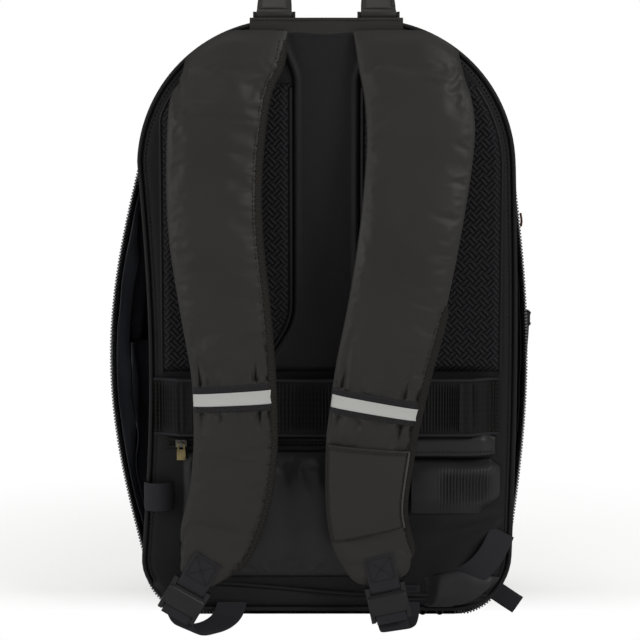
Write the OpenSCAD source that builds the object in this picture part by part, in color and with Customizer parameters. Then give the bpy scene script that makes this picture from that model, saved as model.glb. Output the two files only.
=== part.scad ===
/* [Bag] */
// Width of the bag across its back
bag_w = 300; // [270:1:360]
// Height of the bag from its base to the top of the arch
bag_h = 485; // [404:1:582]
// Depth of the main shell, from its zip to its front panel
shell_d = 130; // [108:1:156]
// Depth of the back half that carries the harness
door_d = 30; // [26:1:40]
// Radius of the arch at each shoulder
shoulder_r = 115; // [95:1:130]
// Radius of the bottom corners
corner_r = 44; // [34:1:54]
// Thickness of the padded fabric walls
wall_t = 3; // [2:0.5:4]
// Thickness of the lining cloth
lining_t = 0.8; // [0.5:0.1:1.2]
// Height of the back half's lower edge above the base
door_lift = 14; // [13:1:20]
// Drop of the top from the zip to the front panel
top_drop = 25; // [10:1:40]
// Narrowing of the shell from its zip to its front panel
front_taper = 16; // [0:1:30]

/* [Main zip] */
// Gap between the two unzipped rims
rim_gap = 8; // [7:0.5:14]
// Spread of the unzipped rim on the left side
left_spread = 26; // [0:1:34]
// Spread of the unzipped rim on the right side
right_spread = 14; // [0:1:24]
// Waist of the back half's left edge
door_waist = 8; // [0:1:12]
// Width of one half of the zip, tape and coil
zip_w = 2.6; // [2:0.1:3]
// Thickness of the zip coil
zip_t = 2.2; // [1.6:0.1:2.6]
// Distance of each zip end from the middle of the base
zip_end_x = 74; // [70:1:76]

/* [Back panel] */
// Thickness of the spacer mesh pads
pad_t = 8; // [5:0.5:9]
// Height of the mesh pads' lower edge
pad_low_z = 208; // [206:1:230]
// Width of the smooth channel between the mesh pads
channel_w = 54; // [40:1:70]
// Height of the luggage band's lower edge
band_low_z = 157; // [155:1:158]
// Height of the luggage band
band_h = 47; // [38:1:48]
// Distance of the luggage band's middle from the back panel
band_reach = 11; // [8:0.5:14]

/* [Harness] */
// Thickness of a padded shoulder strap
strap_t = 10; // [8:0.5:12]
// Height of the straps' padded ends above the base
strap_end_z = 45; // [42:1:60]
// Largest distance of a strap's middle from the back panel
strap_reach = 45; // [38:1:60]
// Width of the webbing
webbing_w = 25; // [20:1:30]
// Thickness of the webbing
webbing_t = 1.4; // [1:0.1:1.8]
// Height of the reflective strip on each strap
reflector_h = 10; // [6:1:14]

/* [Ladder locks] */
// Width of a ladder lock
lock_w = 32; // [32:0.5:36]
// Radius of the bar that the strap's tab loops round
pivot_r = 2; // [1.5:0.1:2.2]
// Running clearance of a pivot
pivot_gap = 0.3; // [0.2:0.05:0.4]

/* [Grab handle] */
// Width of the grab handle
handle_w = 110; // [90:1:120]
// Length of the grab handle from its pivot
handle_l = 46; // [40:1:60]
// Thickness of the grab handle
handle_t = 9; // [7:0.5:9]
// Backward lean of the handle at rest, in degrees from upright
handle_lean = 50; // [30:1:55]

/* [Pockets] */
// Height of the side pocket's mouth above the base
side_pocket_z = 248; // [200:1:260]
// Gape of the side pocket's mouth
side_pocket_gape = 18; // [14:1:26]
// Width of the front pocket
front_pocket_w = 220; // [180:1:240]
// Height of the front pocket
front_pocket_h = 210; // [170:1:250]
// Depth of the front pocket
front_pocket_d = 20; // [16:1:30]
// Depth of the laptop sleeve's space
sleeve_d = 17; // [15:0.5:18]

/* [Hidden] */

// Planes across the depth of the bag
rim_y = -shell_d/2;
front_y = shell_d/2;
door_y = rim_y - rim_gap;
back_y = door_y - door_d;
// Clearance between cloth parts that lie on each other, and from a moving part
lie_gap = 0.4;
move_gap = 0.6;
// Colours
bag_black = [0.07, 0.07, 0.08];
lining_black = [0.05, 0.05, 0.06];
mesh_black = [0.10, 0.10, 0.11];
strap_grey = [0.17, 0.16, 0.15];
webbing_black = [0.09, 0.09, 0.10];
plastic_black = [0.06, 0.06, 0.07];
metal_grey = [0.55, 0.52, 0.46];
reflector_silver = [0.80, 0.80, 0.78];

// ---- Shape functions ----
function unit(v) = v / norm(v);
function slice(list, from, to) = [for (i = [from:to]) list[i]];
function lerp(a, b, t) = a + (b - a)*t;

// A closed solid between two equal grids of points
module slab(outer, inner) {
    rows = len(outer);
    cols = len(outer[0]);
    mid_r = floor((rows - 1)/2);
    mid_c = floor((cols - 1)/2);
    corner = outer[mid_r][mid_c];
    side = cross(outer[mid_r + 1][mid_c] - corner, outer[mid_r][mid_c + 1] - corner);
    outward = side*(corner - inner[mid_r][mid_c]) > 0;
    a_grid = outward ? outer : inner;
    b_grid = outward ? inner : outer;
    points = concat([for (r = a_grid) each r], [for (r = b_grid) each r]);
    n = rows*cols;
    last_r = rows - 1;
    last_c = cols - 1;
    function p(i, j) = i*cols + j;
    faces = concat(
        [for (i = [0:last_r - 1], j = [0:last_c - 1]) each [
            [p(i, j), p(i, j + 1), p(i + 1, j + 1)],
            [p(i, j), p(i + 1, j + 1), p(i + 1, j)],
            [n + p(i, j), n + p(i + 1, j + 1), n + p(i, j + 1)],
            [n + p(i, j), n + p(i + 1, j), n + p(i + 1, j + 1)]]],
        [for (j = [0:last_c - 1]) each [
            [p(0, j + 1), p(0, j), n + p(0, j)],
            [p(0, j + 1), n + p(0, j), n + p(0, j + 1)],
            [p(last_r, j), p(last_r, j + 1), n + p(last_r, j + 1)],
            [p(last_r, j), n + p(last_r, j + 1), n + p(last_r, j)]]],
        [for (i = [0:last_r - 1]) each [
            [p(i, 0), p(i + 1, 0), n + p(i + 1, 0)],
            [p(i, 0), n + p(i + 1, 0), n + p(i, 0)],
            [p(i + 1, last_c), p(i, last_c), n + p(i, last_c)],
            [p(i + 1, last_c), n + p(i, last_c), n + p(i + 1, last_c)]]]);
    polyhedron(points, faces, convexity = 8);
}

// A flat strip along centre points c, with half-width vectors w, from offset t0 to offset t1
function tangent(c, i) = unit(c[min(i + 1, len(c) - 1)] - c[max(i - 1, 0)]);
function strip_side(c, w, t) = [for (i = [0:len(c) - 1])
    let (n = unit(cross(tangent(c, i), w[i]))) [c[i] - w[i] + n*t, c[i] + w[i] + n*t]];
module strip(c, w, t0, t1) {
    slab(strip_side(c, w, t1), strip_side(c, w, t0));
}

// ---- Arched outline of the bag ----
// Points run from the bottom middle, up the right side, over the top and down the left side
CORNER_STEPS = 6;
SIDE_STEPS = 10;
SHOULDER_STEPS = 9;
I_CORNER = 1;
I_SIDE = I_CORNER + CORNER_STEPS;
I_SHOULDER = I_SIDE + SIDE_STEPS;
I_TOP = I_SHOULDER + SHOULDER_STEPS + 1;
I_LAST = 2*I_TOP;
function arch_half(w, z0, z1, rb, rt) = concat(
    [[0, z0]],
    [for (i = [0:CORNER_STEPS]) let (a = -90 + 90*i/CORNER_STEPS)
        [w/2 - rb + rb*cos(a), z0 + rb + rb*sin(a)]],
    [for (i = [1:SIDE_STEPS - 1]) [w/2, z0 + rb + (z1 - rt - z0 - rb)*i/SIDE_STEPS]],
    [for (i = [0:SHOULDER_STEPS]) let (a = 90*i/SHOULDER_STEPS)
        [w/2 - rt + rt*cos(a), z1 - rt + rt*sin(a)]],
    [[0, z1]]);
function bulge(z) = let (low = corner_r + 4, high = bag_h - shoulder_r + 6)
    z <= low || z >= high ? 0 : sin(180*(z - low)/(high - low));
function arch(w, z0, z1, rb, rt, left, right) = let (half = arch_half(w, z0, z1, rb, rt)) concat(
    [for (p = half) [p[0] + (p[0] > w/4 ? right*bulge(p[1]) : 0), p[1]]],
    [for (i = [I_TOP - 1:-1:0]) let (p = half[i]) [-p[0] - (p[0] > w/4 ? left*bulge(p[1]) : 0), p[1]]]);
function at_y(points, y) = [for (p = points) [p[0], y, p[1]]];

// Outline of the shell at share v of its depth, drawn in by inset
function shell_outline(v, inset) = arch(bag_w - front_taper*v - 2*inset, inset, bag_h - top_drop*v*v - inset,
    corner_r - inset, shoulder_r - inset, left_spread*pow(1 - v, 1.5), right_spread*pow(1 - v, 1.5));
function door_outline(inset) = arch(bag_w - 4 - 2*inset, door_lift + inset, bag_h - inset,
    corner_r - inset, shoulder_r - inset, -door_waist, 3);
SHELL_ROWS = [0, 0.2, 0.4, 0.6, 0.8, 1];
function shell_y(v) = lerp(rim_y, front_y, v);
function shell_grid(inset) = [for (v = SHELL_ROWS) at_y(shell_outline(v, inset), shell_y(v))];
function columns(grid, from, to) = [for (row = grid) slice(row, from, to)];
function base_columns(grid) = [for (row = grid)
    concat(slice(row, I_LAST - I_SIDE, I_LAST), slice(row, 1, I_SIDE))];

// ---- Main shell ----
module base_panel() {
    color(bag_black) slab(base_columns(shell_grid(0)), base_columns(shell_grid(wall_t)));
}
module shell_strip(from, to) {
    slab(columns(shell_grid(0), from, to), columns(shell_grid(wall_t), from, to));
}
module side_panel_right() { color(bag_black) shell_strip(I_SIDE, I_SHOULDER); }
module side_panel_left() { color(bag_black) shell_strip(I_LAST - I_SHOULDER, I_LAST - I_SIDE); }
module top_panel() { color(bag_black) shell_strip(I_SHOULDER, I_LAST - I_SHOULDER); }
// A flat panel of the arch's shape, from y0 to y1
module flat_panel(points, y0, y1) {
    translate([0, y1, 0]) rotate([90, 0, 0]) linear_extrude(y1 - y0) polygon(points);
}
module front_panel() {
    color(bag_black) flat_panel(slice(shell_outline(1, 0), 0, I_LAST - 1), front_y, front_y + wall_t);
}
// The lining and the back half's wall are strips that go all round, to a butt seam under the base's middle
seam_gap = 0.3;
function ring_side(points) = concat([[seam_gap/2, points[0][1]]], slice(points, 1, I_LAST - 1),
    [[-seam_gap/2, points[0][1]]]);
function ring_grid(inset) = [for (v = SHELL_ROWS) at_y(ring_side(shell_outline(v, inset)), shell_y(v))];
module shell_lining() {
    color(lining_black) slab(ring_grid(wall_t), ring_grid(wall_t + lining_t));
}
floor_z = wall_t + lining_t;
board_t = 2;
board_in = 14;
module base_board() {
    half_w = (bag_w - front_taper)/2 - corner_r - 4;
    color(plastic_black) translate([-half_w, rim_y + board_in, floor_z])
        cube([2*half_w, shell_d - 2*board_in, board_t]);
}
// A rectangle with round corners, standing on its lower edge
module rounded(w, h, r) {
    translate([-w/2 + r, 0]) square([w - 2*r, h]);
    translate([-w/2, r]) square([w, h - 2*r]);
    for (x = [-w/2 + r, w/2 - r], y = [r, h - r]) translate([x, y]) circle(r, $fn = 48);
}
divider_t = 4;
divider_y = front_y - 32;
divider_h = 350;
divider_side = 24;
module racket_divider() {
    half_w = (bag_w - front_taper)/2 - divider_side;
    low = floor_z + board_t;
    color(lining_black) translate([0, divider_y + divider_t, low]) rotate([90, 0, 0]) linear_extrude(divider_t)
        rounded(2*half_w, min(divider_h, bag_h - shoulder_r - low), 34);
}
// One half of the main zip: a coil on the rim from one end at the base, over the top, to the other
function zip_side(points, end_x) = concat([[end_x, points[0][1]]], slice(points, 1, I_LAST - 1),
    [[-end_x, points[0][1]]]);
module zip_half(outer, inner, y0, y1) {
    a = zip_side(outer, zip_end_x);
    b = zip_side(inner, zip_end_x);
    slab([at_y(a, y0), at_y(a, y1)], [at_y(b, y0), at_y(b, y1)]);
}
zip_in = 0.4;
module shell_zip() {
    color(plastic_black) zip_half(shell_outline(0, zip_in), shell_outline(0, zip_in + zip_t), rim_y - zip_w, rim_y);
}
tag_z = bag_h*0.665;
module zip_end_tag() {
    x = bag_w/2 + right_spread*bulge(tag_z) + lie_gap;
    color([0.42, 0.22, 0.10]) translate([x, rim_y - zip_w, tag_z]) cube([1.4, 6, 10]);
}
// Fabric hinge between the shell and the back half, along the base
hinge_r = 3;
hinge_y = rim_y - hinge_r - 0.2;
hinge_z = hinge_r + lie_gap;
hinge_half = zip_end_x - 3;
module hinge_piping() {
    color(bag_black) translate([-hinge_half, hinge_y, hinge_z]) rotate([0, 90, 0])
        cylinder(h = 2*hinge_half, r = hinge_r, $fn = 48);
}
// Flat webbing tail sewn into the lower right corner
tail_l = 20;
tail_angle = -34;
module corner_tail() {
    middle = [bag_w/2 - corner_r, rim_y - zip_w - 1.2, corner_r];
    dir = [cos(tail_angle), 0, sin(tail_angle)];
    across = [sin(tail_angle), 0, -cos(tail_angle)]*8;
    reach = corner_r - 6;
    color(webbing_black) strip([middle + dir*reach, middle + dir*(corner_r + tail_l)],
        [across, across], -webbing_t/2, webbing_t/2);
}
// Slip pocket on the left lining
slip_low = 80;
slip_high = 225;
module lining_pocket_left() {
    inset = wall_t + lining_t + lie_gap;
    walls = [for (v = SHELL_ROWS) let (line = shell_outline(v, inset))
        [for (i = [I_LAST - I_SIDE:-1:I_LAST - I_SHOULDER]) [line[i][1], line[i][0]]]];
    function wall_x(v, z) = let (k = min(floor(v*5), 4)) lerp(lookup(z, walls[k]), lookup(z, walls[k + 1]), v*5 - k);
    function face(extra) = [for (v = [0.1, 0.25, 0.4, 0.55, 0.7]) [for (z = [slip_low:29:slip_high])
        [wall_x(v, z) + extra, shell_y(v), z]]];
    color(lining_black) slab(face(0), face(1.4));
}

// ---- Side pocket on the right ----
pocket_sheet = 1.5;
pocket_low = corner_r + 4;
SIDE_POCKET_V = [0.18, 0.26, 0.34, 0.42, 0.5, 0.58, 0.66, 0.74, 0.82];
function side_pocket_x(v, z, extra) = let (u = (v - 0.18)/0.64, h = (z - pocket_low)/(side_pocket_z - pocket_low))
    (bag_w - front_taper*v)/2 + right_spread*pow(1 - v, 1.5)*bulge(z) + lie_gap + 0.1 + extra
    + side_pocket_gape*pow(max(sin(180*u), 0), 0.7)*pow(max(h, 0), 0.6);
function side_pocket_face(z0, z1, steps, extra) = [for (k = [0:steps]) let (z = lerp(z0, z1, k/steps))
    [for (v = SIDE_POCKET_V) [side_pocket_x(v, z, extra), shell_y(v), z]]];
hem_h = 12;
module side_pocket_right() {
    top = side_pocket_z - hem_h;
    color(bag_black) slab(side_pocket_face(pocket_low, top, 8, pocket_sheet),
        side_pocket_face(pocket_low, top, 8, 0));
}
module side_pocket_hem() {
    low = side_pocket_z - hem_h;
    color(bag_black) slab(side_pocket_face(low, side_pocket_z, 2, pocket_sheet + 0.6),
        side_pocket_face(low, side_pocket_z, 2, 0));
}

// ---- Front pocket ----
pocket_front_y = front_y + wall_t + front_pocket_d;
front_pocket_z = 42;
front_wall = 2;
mouth_w = 184;
mouth_d = 10;
module front_pocket() {
    y0 = front_y + wall_t;
    top = front_pocket_z + front_pocket_h;
    color(bag_black) difference() {
        translate([0, pocket_front_y, front_pocket_z]) rotate([90, 0, 0])
            linear_extrude(front_pocket_d) rounded(front_pocket_w, front_pocket_h, 18);
        translate([0, pocket_front_y - front_wall, front_pocket_z + front_wall]) rotate([90, 0, 0])
            linear_extrude(front_pocket_d) rounded(front_pocket_w - 2*front_wall, front_pocket_h - 2*front_wall, 16);
        translate([-mouth_w/2, pocket_front_y - front_wall - mouth_d - 2, top - 3]) cube([mouth_w, mouth_d, 4]);
    }
}
// Two tapes along the front pocket's mouth
tape_t = 1.2;
tape_w = 3;
mouth_y = pocket_front_y - front_wall - 2 - mouth_d/2;
front_top = front_pocket_z + front_pocket_h;
module front_pocket_zip() {
    for (side = [-1, 1]) color(plastic_black)
        translate([-mouth_w/2 - 4, mouth_y + side*(mouth_d/2 - tape_w/2) - tape_w/2, front_top])
            cube([mouth_w + 8, tape_w, tape_t]);
}
// Zip slider: a body on the tapes with a bail, drawn at the origin with its back face at y = 0
slider_l = 9;
slider_h = 6;
slider_t = 3;
bail_r = 1;
module slider() {
    difference() {
        union() {
            translate([-slider_l/2, -slider_t, -slider_h/2]) cube([slider_l, slider_t, slider_h]);
            translate([-1.5, -slider_t - 2.6, -1.5]) cube([3, 2.7, 3]);
        }
        translate([-2, -slider_t - 1.3, 0]) rotate([0, 90, 0]) cylinder(h = 4, r = bail_r, $fn = 24);
    }
}
// Pull tab that hangs from a slider's bail: a wire through the bail and a plate below it
pull_w = 7;
pull_bail = bail_r - 0.25;
module pull(length, bar_l = 6) {
    half = bar_l/2;
    translate([-half, 0, 0]) rotate([0, 90, 0]) cylinder(h = bar_l, r = pull_bail, $fn = 24);
    for (x = [-half, half - 1.2]) translate([x, -pull_bail, -5]) cube([1.2, 2*pull_bail, 5]);
    translate([-pull_w/2, -pull_bail, -length]) cube([pull_w, 2*pull_bail, length - 4.4]);
}
// Ring pull: a wire through the bail and a ring below it
ring_r = 3.2;
ring_drop = 2.4;
module ring_pull() {
    half = 2.6;
    translate([-half, 0, 0]) rotate([0, 90, 0]) cylinder(h = 2*half, r = pull_bail, $fn = 24);
    for (x = [-half, half - 1]) translate([x, -pull_bail, -3.4]) cube([1, 2*pull_bail, 3.4]);
    translate([0, 0, -ring_drop - ring_r]) rotate([90, 0, 0]) rotate_extrude($fn = 48)
        translate([ring_r - 0.6, 0]) circle(0.7, $fn = 20);
}
slider_up = tape_t + 0.2;
front_slider_x = -mouth_w/2 + 8;
front_pull_y = mouth_y - slider_h/2;
module front_slider() {
    color(metal_grey) translate([front_slider_x, mouth_y, front_top + slider_up]) rotate([-90, 0, 0]) slider();
}
pull_l = 16;
module front_pull() {
    color(metal_grey) translate([front_slider_x, mouth_y, front_top + slider_up + slider_t + 1.3])
        rotate([90, 0, 0]) pull(pull_l);
}

// ---- Back half ----
module door_gusset() {
    outer = ring_side(door_outline(0));
    inner = ring_side(door_outline(wall_t));
    color(bag_black) slab([at_y(outer, back_y + wall_t), at_y(outer, door_y)],
        [at_y(inner, back_y + wall_t), at_y(inner, door_y)]);
}
module back_panel() {
    color(bag_black) flat_panel(slice(door_outline(0), 0, I_LAST - 1), back_y, back_y + wall_t);
}
back_board_in = 8;
module back_board() {
    color(plastic_black) flat_panel(slice(door_outline(back_board_in), 0, I_LAST - 1),
        back_y + wall_t, back_y + wall_t + board_t);
}
sleeve_t = 3;
sleeve_h = 270;
sleeve_back = back_y + wall_t + board_t;
module laptop_sleeve() {
    half_w = bag_w/2 - door_waist - 16;
    low = door_lift + wall_t + 24;
    color(lining_black) difference() {
        translate([-half_w, sleeve_back, low]) cube([2*half_w, sleeve_d + sleeve_t, sleeve_h]);
        translate([-half_w + sleeve_t, sleeve_back - 1, low + sleeve_t])
            cube([2*(half_w - sleeve_t), sleeve_d + 1, sleeve_h]);
    }
}
module door_zip() {
    color(plastic_black) zip_half(door_outline(zip_in), door_outline(zip_in + zip_t), door_y, door_y + zip_w);
}
module door_welt() {
    near = hinge_y - hinge_r - lie_gap;
    color(bag_black) translate([-hinge_half, near - zip_w, hinge_z]) cube([2*hinge_half, zip_w, door_lift - hinge_z]);
}
// Mesh pad: a pad between the arch, drawn in, and the channel
pad_in = 9;
pad_top = 48;
channel_gap = 1;
module mesh_pad(side) {
    edge = slice(door_outline(pad_in), I_SIDE, I_TOP - 3);
    high = [for (p = edge) if (p[1] > pad_low_z + 14) p];
    x_low = (bag_w - 4)/2 - pad_in;
    points = concat([[channel_w/2 + 24, pad_low_z], [x_low, pad_low_z]],
        [for (p = high) if (p[1] < bag_h - pad_top - 4) [min(p[0], x_low), p[1]]],
        [[bag_w/2 - 52, bag_h - pad_top], [channel_w/2 + channel_gap, bag_h - pad_top], [channel_w/2 + channel_gap, pad_low_z + 62],
        [channel_w/2 + 8, pad_low_z + 28]]);
    shown = side > 0 ? points : [for (p = points) [-min(p[0], x_low - door_waist), p[1]]];
    color(mesh_black) flat_panel(shown, back_y - pad_t, back_y);
}
module mesh_pad_left() { mesh_pad(-1); }
module mesh_pad_right() { mesh_pad(1); }
channel_t = 4;
module spine_channel() {
    color(bag_black) flat_panel([[-channel_w/2 + channel_gap, bag_h - pad_top], [-channel_w/2 + channel_gap, pad_low_z + 60],
        [-channel_w/2 - 7, pad_low_z + 26], [-channel_w/2 - 22, pad_low_z], [channel_w/2 + 22, pad_low_z],
        [channel_w/2 + 7, pad_low_z + 26], [channel_w/2 - channel_gap, pad_low_z + 60],
        [channel_w/2 - channel_gap, bag_h - pad_top]], back_y - channel_t, back_y);
}
module luggage_band() {
    reach = bag_w/2 - door_waist - 4;
    z = band_low_z + band_h/2;
    near = back_y - lie_gap - 0.8;
    far = back_y - band_reach;
    c = [[-reach, near, z], [-reach + 8, near, z], [-reach + 20, lerp(near, far, 0.75), z], [-reach + 32, far, z],
        [0, far - 1, z], [reach - 32, far, z], [reach - 20, lerp(near, far, 0.75), z], [reach - 8, near, z],
        [reach, near, z]];
    w = [for (p = c) [0, 0, band_h/2]];
    color(webbing_black) strip(c, w, -0.8, 0.8);
}
lower_pad_t = 4;
lower_pad_low = 40;
lower_pad_top = band_low_z - 12;
lower_pad_right = 66;
module lower_back_pad() {
    half_w = bag_w/2 - door_waist - 25;
    color(bag_black) flat_panel([[-half_w + 14, lower_pad_low], [lower_pad_right, lower_pad_low],
        [lower_pad_right, lower_pad_top], [-half_w, lower_pad_top], [-half_w, lower_pad_low + 18]],
        back_y - lower_pad_t, back_y);
}
ribbed_t = 4;
module ribbed_panel_right() {
    x = lower_pad_right + channel_gap;
    color(webbing_black) translate([x, back_y - ribbed_t, 92])
        cube([bag_w/2 - 9 - x, ribbed_t, lower_pad_top - 92]);
}
// Strip across the top that the straps and the handle are sewn under
seam_z = bag_h - 15;
yoke_t = 2;
yoke_w = 114;
module harness_yoke() {
    color(strap_grey) translate([-yoke_w/2, back_y - yoke_t, seam_z + 1.5]) cube([yoke_w, yoke_t, 8]);
}
// Pins that the grab handle's two legs turn on
leg_w = 28;
leg_x = handle_w/2 - leg_w/2;
handle_pivot_r = 2.5;
handle_sleeve_r = 4.4;
handle_y = back_y + 7;
handle_z = bag_h + handle_sleeve_r + move_gap;
cheek_t = 2;
function arch_drop(x) = abs(x) < bag_w/2 - 2 - shoulder_r ? 0 :
    shoulder_r - sqrt(pow(shoulder_r, 2) - pow(abs(x) - (bag_w/2 - 2 - shoulder_r), 2));
module handle_pins() {
    color(webbing_black) for (side = [-1, 1]) {
        near = leg_x - leg_w/2 - move_gap;
        far = leg_x + leg_w/2 + move_gap;
        translate([side > 0 ? near : -far, handle_y, handle_z]) rotate([0, 90, 0])
            cylinder(h = far - near, r = handle_pivot_r, $fn = 48);
        for (x = [near - cheek_t, far]) {
            low = bag_h - arch_drop(max(0, x - 1));
            translate([side > 0 ? x : -x - cheek_t, handle_y - handle_pivot_r, low])
                cube([cheek_t, 2*handle_pivot_r, handle_z + handle_pivot_r - low]);
        }
    }
}
// Lash loop at the left edge
loop_z = 108;
module side_loop_left() {
    edge = -(bag_w - 4)/2 + door_waist*bulge(loop_z) - 2;
    c = [[edge, back_y + 22, loop_z], [edge, back_y + 2, loop_z], [edge + 0.5, back_y - 5, loop_z],
        [edge + 5, back_y - 10, loop_z], [edge + 13, back_y - 11, loop_z], [edge + 20, back_y - 8, loop_z],
        [edge + 23, back_y - 2.6, loop_z]];
    w = [for (p = c) [0, 0, 11.5]];
    color(webbing_black) strip(c, w, -webbing_t/2, webbing_t/2);
}
// Flat webbing curving over the lower right of the back panel
module side_webbing_right() {
    x = bag_w/2;
    c = [[x - 8, back_y - 1.2, 78], [x - 12, back_y - 5, 70], [x - 19, back_y - 7, 58],
        [x - 30, back_y - 6, 46], [x - 43, back_y - 1.2, 38]];
    w = [for (i = [0:len(c) - 1]) let (t = tangent(c, i)) unit([-t[2], 0, t[0]])*(webbing_w/2 - 2)];
    color(webbing_black) strip(c, w, -webbing_t/2, webbing_t/2);
}
// Zip of the flat hidden pocket under the luggage band
back_zip_z = (lower_pad_top + band_low_z)/2 - 0.5;
back_zip_h = 6;
module back_pocket_zip() {
    half_w = bag_w/2 - door_waist - 14;
    color(plastic_black) translate([-half_w, back_y - tape_t, back_zip_z - back_zip_h/2])
        cube([2*half_w, tape_t, back_zip_h]);
}
back_slider_x = -bag_w/2 + 34;
module back_slider() {
    color(metal_grey) translate([back_slider_x, back_y - slider_up, back_zip_z]) slider();
}
back_pull_l = 13;
module back_pull() {
    color([0.72, 0.55, 0.25]) translate([back_slider_x, back_y - slider_up - slider_t - 1.3 - 0.0, back_zip_z])
        pull(back_pull_l);
}
// Two sliders parked at the right-hand end of the main zip, under the back half
main_slider_y = door_y + zip_w/2 - 1;
inner_slider_x = zip_end_x + 6;
outer_slider_x = inner_slider_x + 14;
module main_slider(x) {
    translate([x, main_slider_y, door_lift - 0.1]) rotate([90, 0, 0]) slider();
}
main_pull_z = door_lift - 0.1 - slider_t - 1.3;
module main_pull(x) { translate([x, main_slider_y, main_pull_z]) ring_pull(); }
module zip_slider_inner() { color(metal_grey) main_slider(inner_slider_x); }
module zip_pull_inner() { color(metal_grey) main_pull(inner_slider_x); }
module zip_slider_outer() { color(metal_grey) main_slider(outer_slider_x); }
module zip_pull_outer() { color(metal_grey) main_pull(outer_slider_x); }

// ---- Grab handle ----
module handle_shape() {
    r = 20;
    difference() {
        union() {
            translate([-handle_w/2, 0]) square([handle_w, handle_l - r]);
            translate([-handle_w/2 + r, 0]) square([handle_w - 2*r, handle_l]);
            for (x = [-1, 1]) translate([x*(handle_w/2 - r), handle_l - r]) circle(r, $fn = 64);
        }
        gap_w = handle_w - 2*leg_w;
        translate([-gap_w/2, -1]) square([gap_w, handle_l - 14 - 8]);
        translate([-gap_w/2 + 8, -1]) square([gap_w - 16, handle_l - 14 + 1]);
        for (x = [-1, 1]) translate([x*(gap_w/2 - 8), handle_l - 14 - 8]) circle(8, $fn = 48);
    }
}
module grab_handle() {
    color(strap_grey) translate([0, handle_y, handle_z]) rotate([-handle_lean, 0, 0]) difference() {
        union() {
            translate([0, handle_t/2, 0]) rotate([90, 0, 0]) linear_extrude(handle_t) handle_shape();
            for (side = [-1, 1]) translate([side*leg_x - leg_w/2, 0, 0]) rotate([0, 90, 0])
                cylinder(h = leg_w, r = handle_sleeve_r, $fn = 48);
        }
        translate([-handle_w/2 - 1, 0, 0]) rotate([0, 90, 0])
            cylinder(h = handle_w + 2, r = handle_pivot_r + pivot_gap, $fn = 48);
        translate([-handle_w/2 - 1, -handle_t, -handle_t*2]) cube([handle_w + 2, 2*handle_t, 2*handle_t - handle_sleeve_r]);
    }
}

// ---- Shoulder straps ----
// Each row is the share of the drop from the seam, the middle's x, the share of the reach, and the width
STRAP_LEFT = [[0, -70, 0, 80], [0.05, -75, 0.17, 79], [0.105, -84, 0.35, 76], [0.235, -88, 0.62, 72],
    [0.355, -86.5, 0.88, 70], [0.485, -79.5, 1, 67], [0.6, -73.5, 1, 63], [0.695, -72, 0.93, 63],
    [0.76, -72.6, 0.86, 63], [0.84, -77, 0.74, 62], [0.905, -85, 0.62, 60], [0.955, -93, 0.62, 55],
    [1, -104, 0.62, 46]];
STRAP_RIGHT = [[0, 62, 0, 82], [0.05, 66, 0.17, 83], [0.1, 71, 0.34, 84], [0.165, 73, 0.5, 84],
    [0.235, 71, 0.62, 82], [0.355, 64, 0.88, 78], [0.485, 54, 1, 75], [0.6, 43, 1, 72], [0.695, 36, 0.93, 69],
    [0.745, 33.2, 0.885, 67.5], [0.85, 30.5, 0.74, 62], [0.915, 34, 0.62, 61], [0.965, 42.2, 0.62, 57],
    [1, 45.4, 0.62, 48]];
LEFT_END_ANGLE = 30;
RIGHT_END_ANGLE = -12;
strap_start = strap_t/2 + lie_gap;
strap_top_z = seam_z - 0.5;
function strap_at(row) = [row[1], back_y - lerp(strap_start, strap_reach, row[2]),
    lerp(strap_top_z, strap_end_z, row[0])];
function strap_line(table) = [for (row = table) strap_at(row)];
function strap_across(table) = let (c = strap_line(table)) [for (i = [0:len(c) - 1])
    let (t = tangent(c, i), side = unit([-t[2], 0, t[0]]), level = [1, 0, 0], f = min(table[i][0]*8, 1))
    unit(lerp(level, side, f))*table[i][3]/2];
cover_t = 1.5;
module strap_layer(table, t0, t1) {
    strip(strap_line(table), strap_across(table), t0, t1);
}
// The strap's outer face is on the side away from the back panel, at a positive offset
module strap_cover(table) { color(strap_grey) strap_layer(table, strap_t/2 - cover_t, strap_t/2); }
module strap_foam(table) { color(mesh_black) strap_layer(table, -strap_t/2 + cover_t, strap_t/2 - cover_t); }
module strap_mesh(table) { color(mesh_black) strap_layer(table, -strap_t/2, -strap_t/2 + cover_t); }
// Share t of the way from row i to the next one, as a centre point and a half-width vector
function strap_mid(table, i, t) = lerp(strap_line(table)[i], strap_line(table)[i + 1], t);
function strap_half(table, i, t) = lerp(strap_across(table)[i], strap_across(table)[i + 1], t);
module strap_patch(table, i, t_from, t_to, share, off0, off1) {
    n = unit(cross(strap_line(table)[i + 1] - strap_line(table)[i], strap_across(table)[i]));
    grow = n*(strap_t/2 + lie_gap/2);
    strip([strap_mid(table, i, t_from) + grow, strap_mid(table, i, t_to) + grow],
        [strap_half(table, i, t_from)*share, strap_half(table, i, t_to)*share], off0, off1);
}
module strap_left_cover() { strap_cover(STRAP_LEFT); }
module strap_left_foam() { strap_foam(STRAP_LEFT); }
module strap_left_mesh() { strap_mesh(STRAP_LEFT); }
module strap_right_cover() { strap_cover(STRAP_RIGHT); }
module strap_right_foam() { strap_foam(STRAP_RIGHT); }
module strap_right_mesh() { strap_mesh(STRAP_RIGHT); }
// A reflective strip lies between row and the next one, with its middle at share mid of the way
module strap_reflector(table, row, mid) {
    half = reflector_h/norm(strap_line(table)[row + 1] - strap_line(table)[row])/2;
    color(reflector_silver) strap_patch(table, row, mid - half, mid + half, 0.97, 0, 0.6);
}
module strap_left_reflector() { strap_reflector(STRAP_LEFT, 6, 0.5); }
module strap_right_reflector() { strap_reflector(STRAP_RIGHT, 7, 0.68); }
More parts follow.
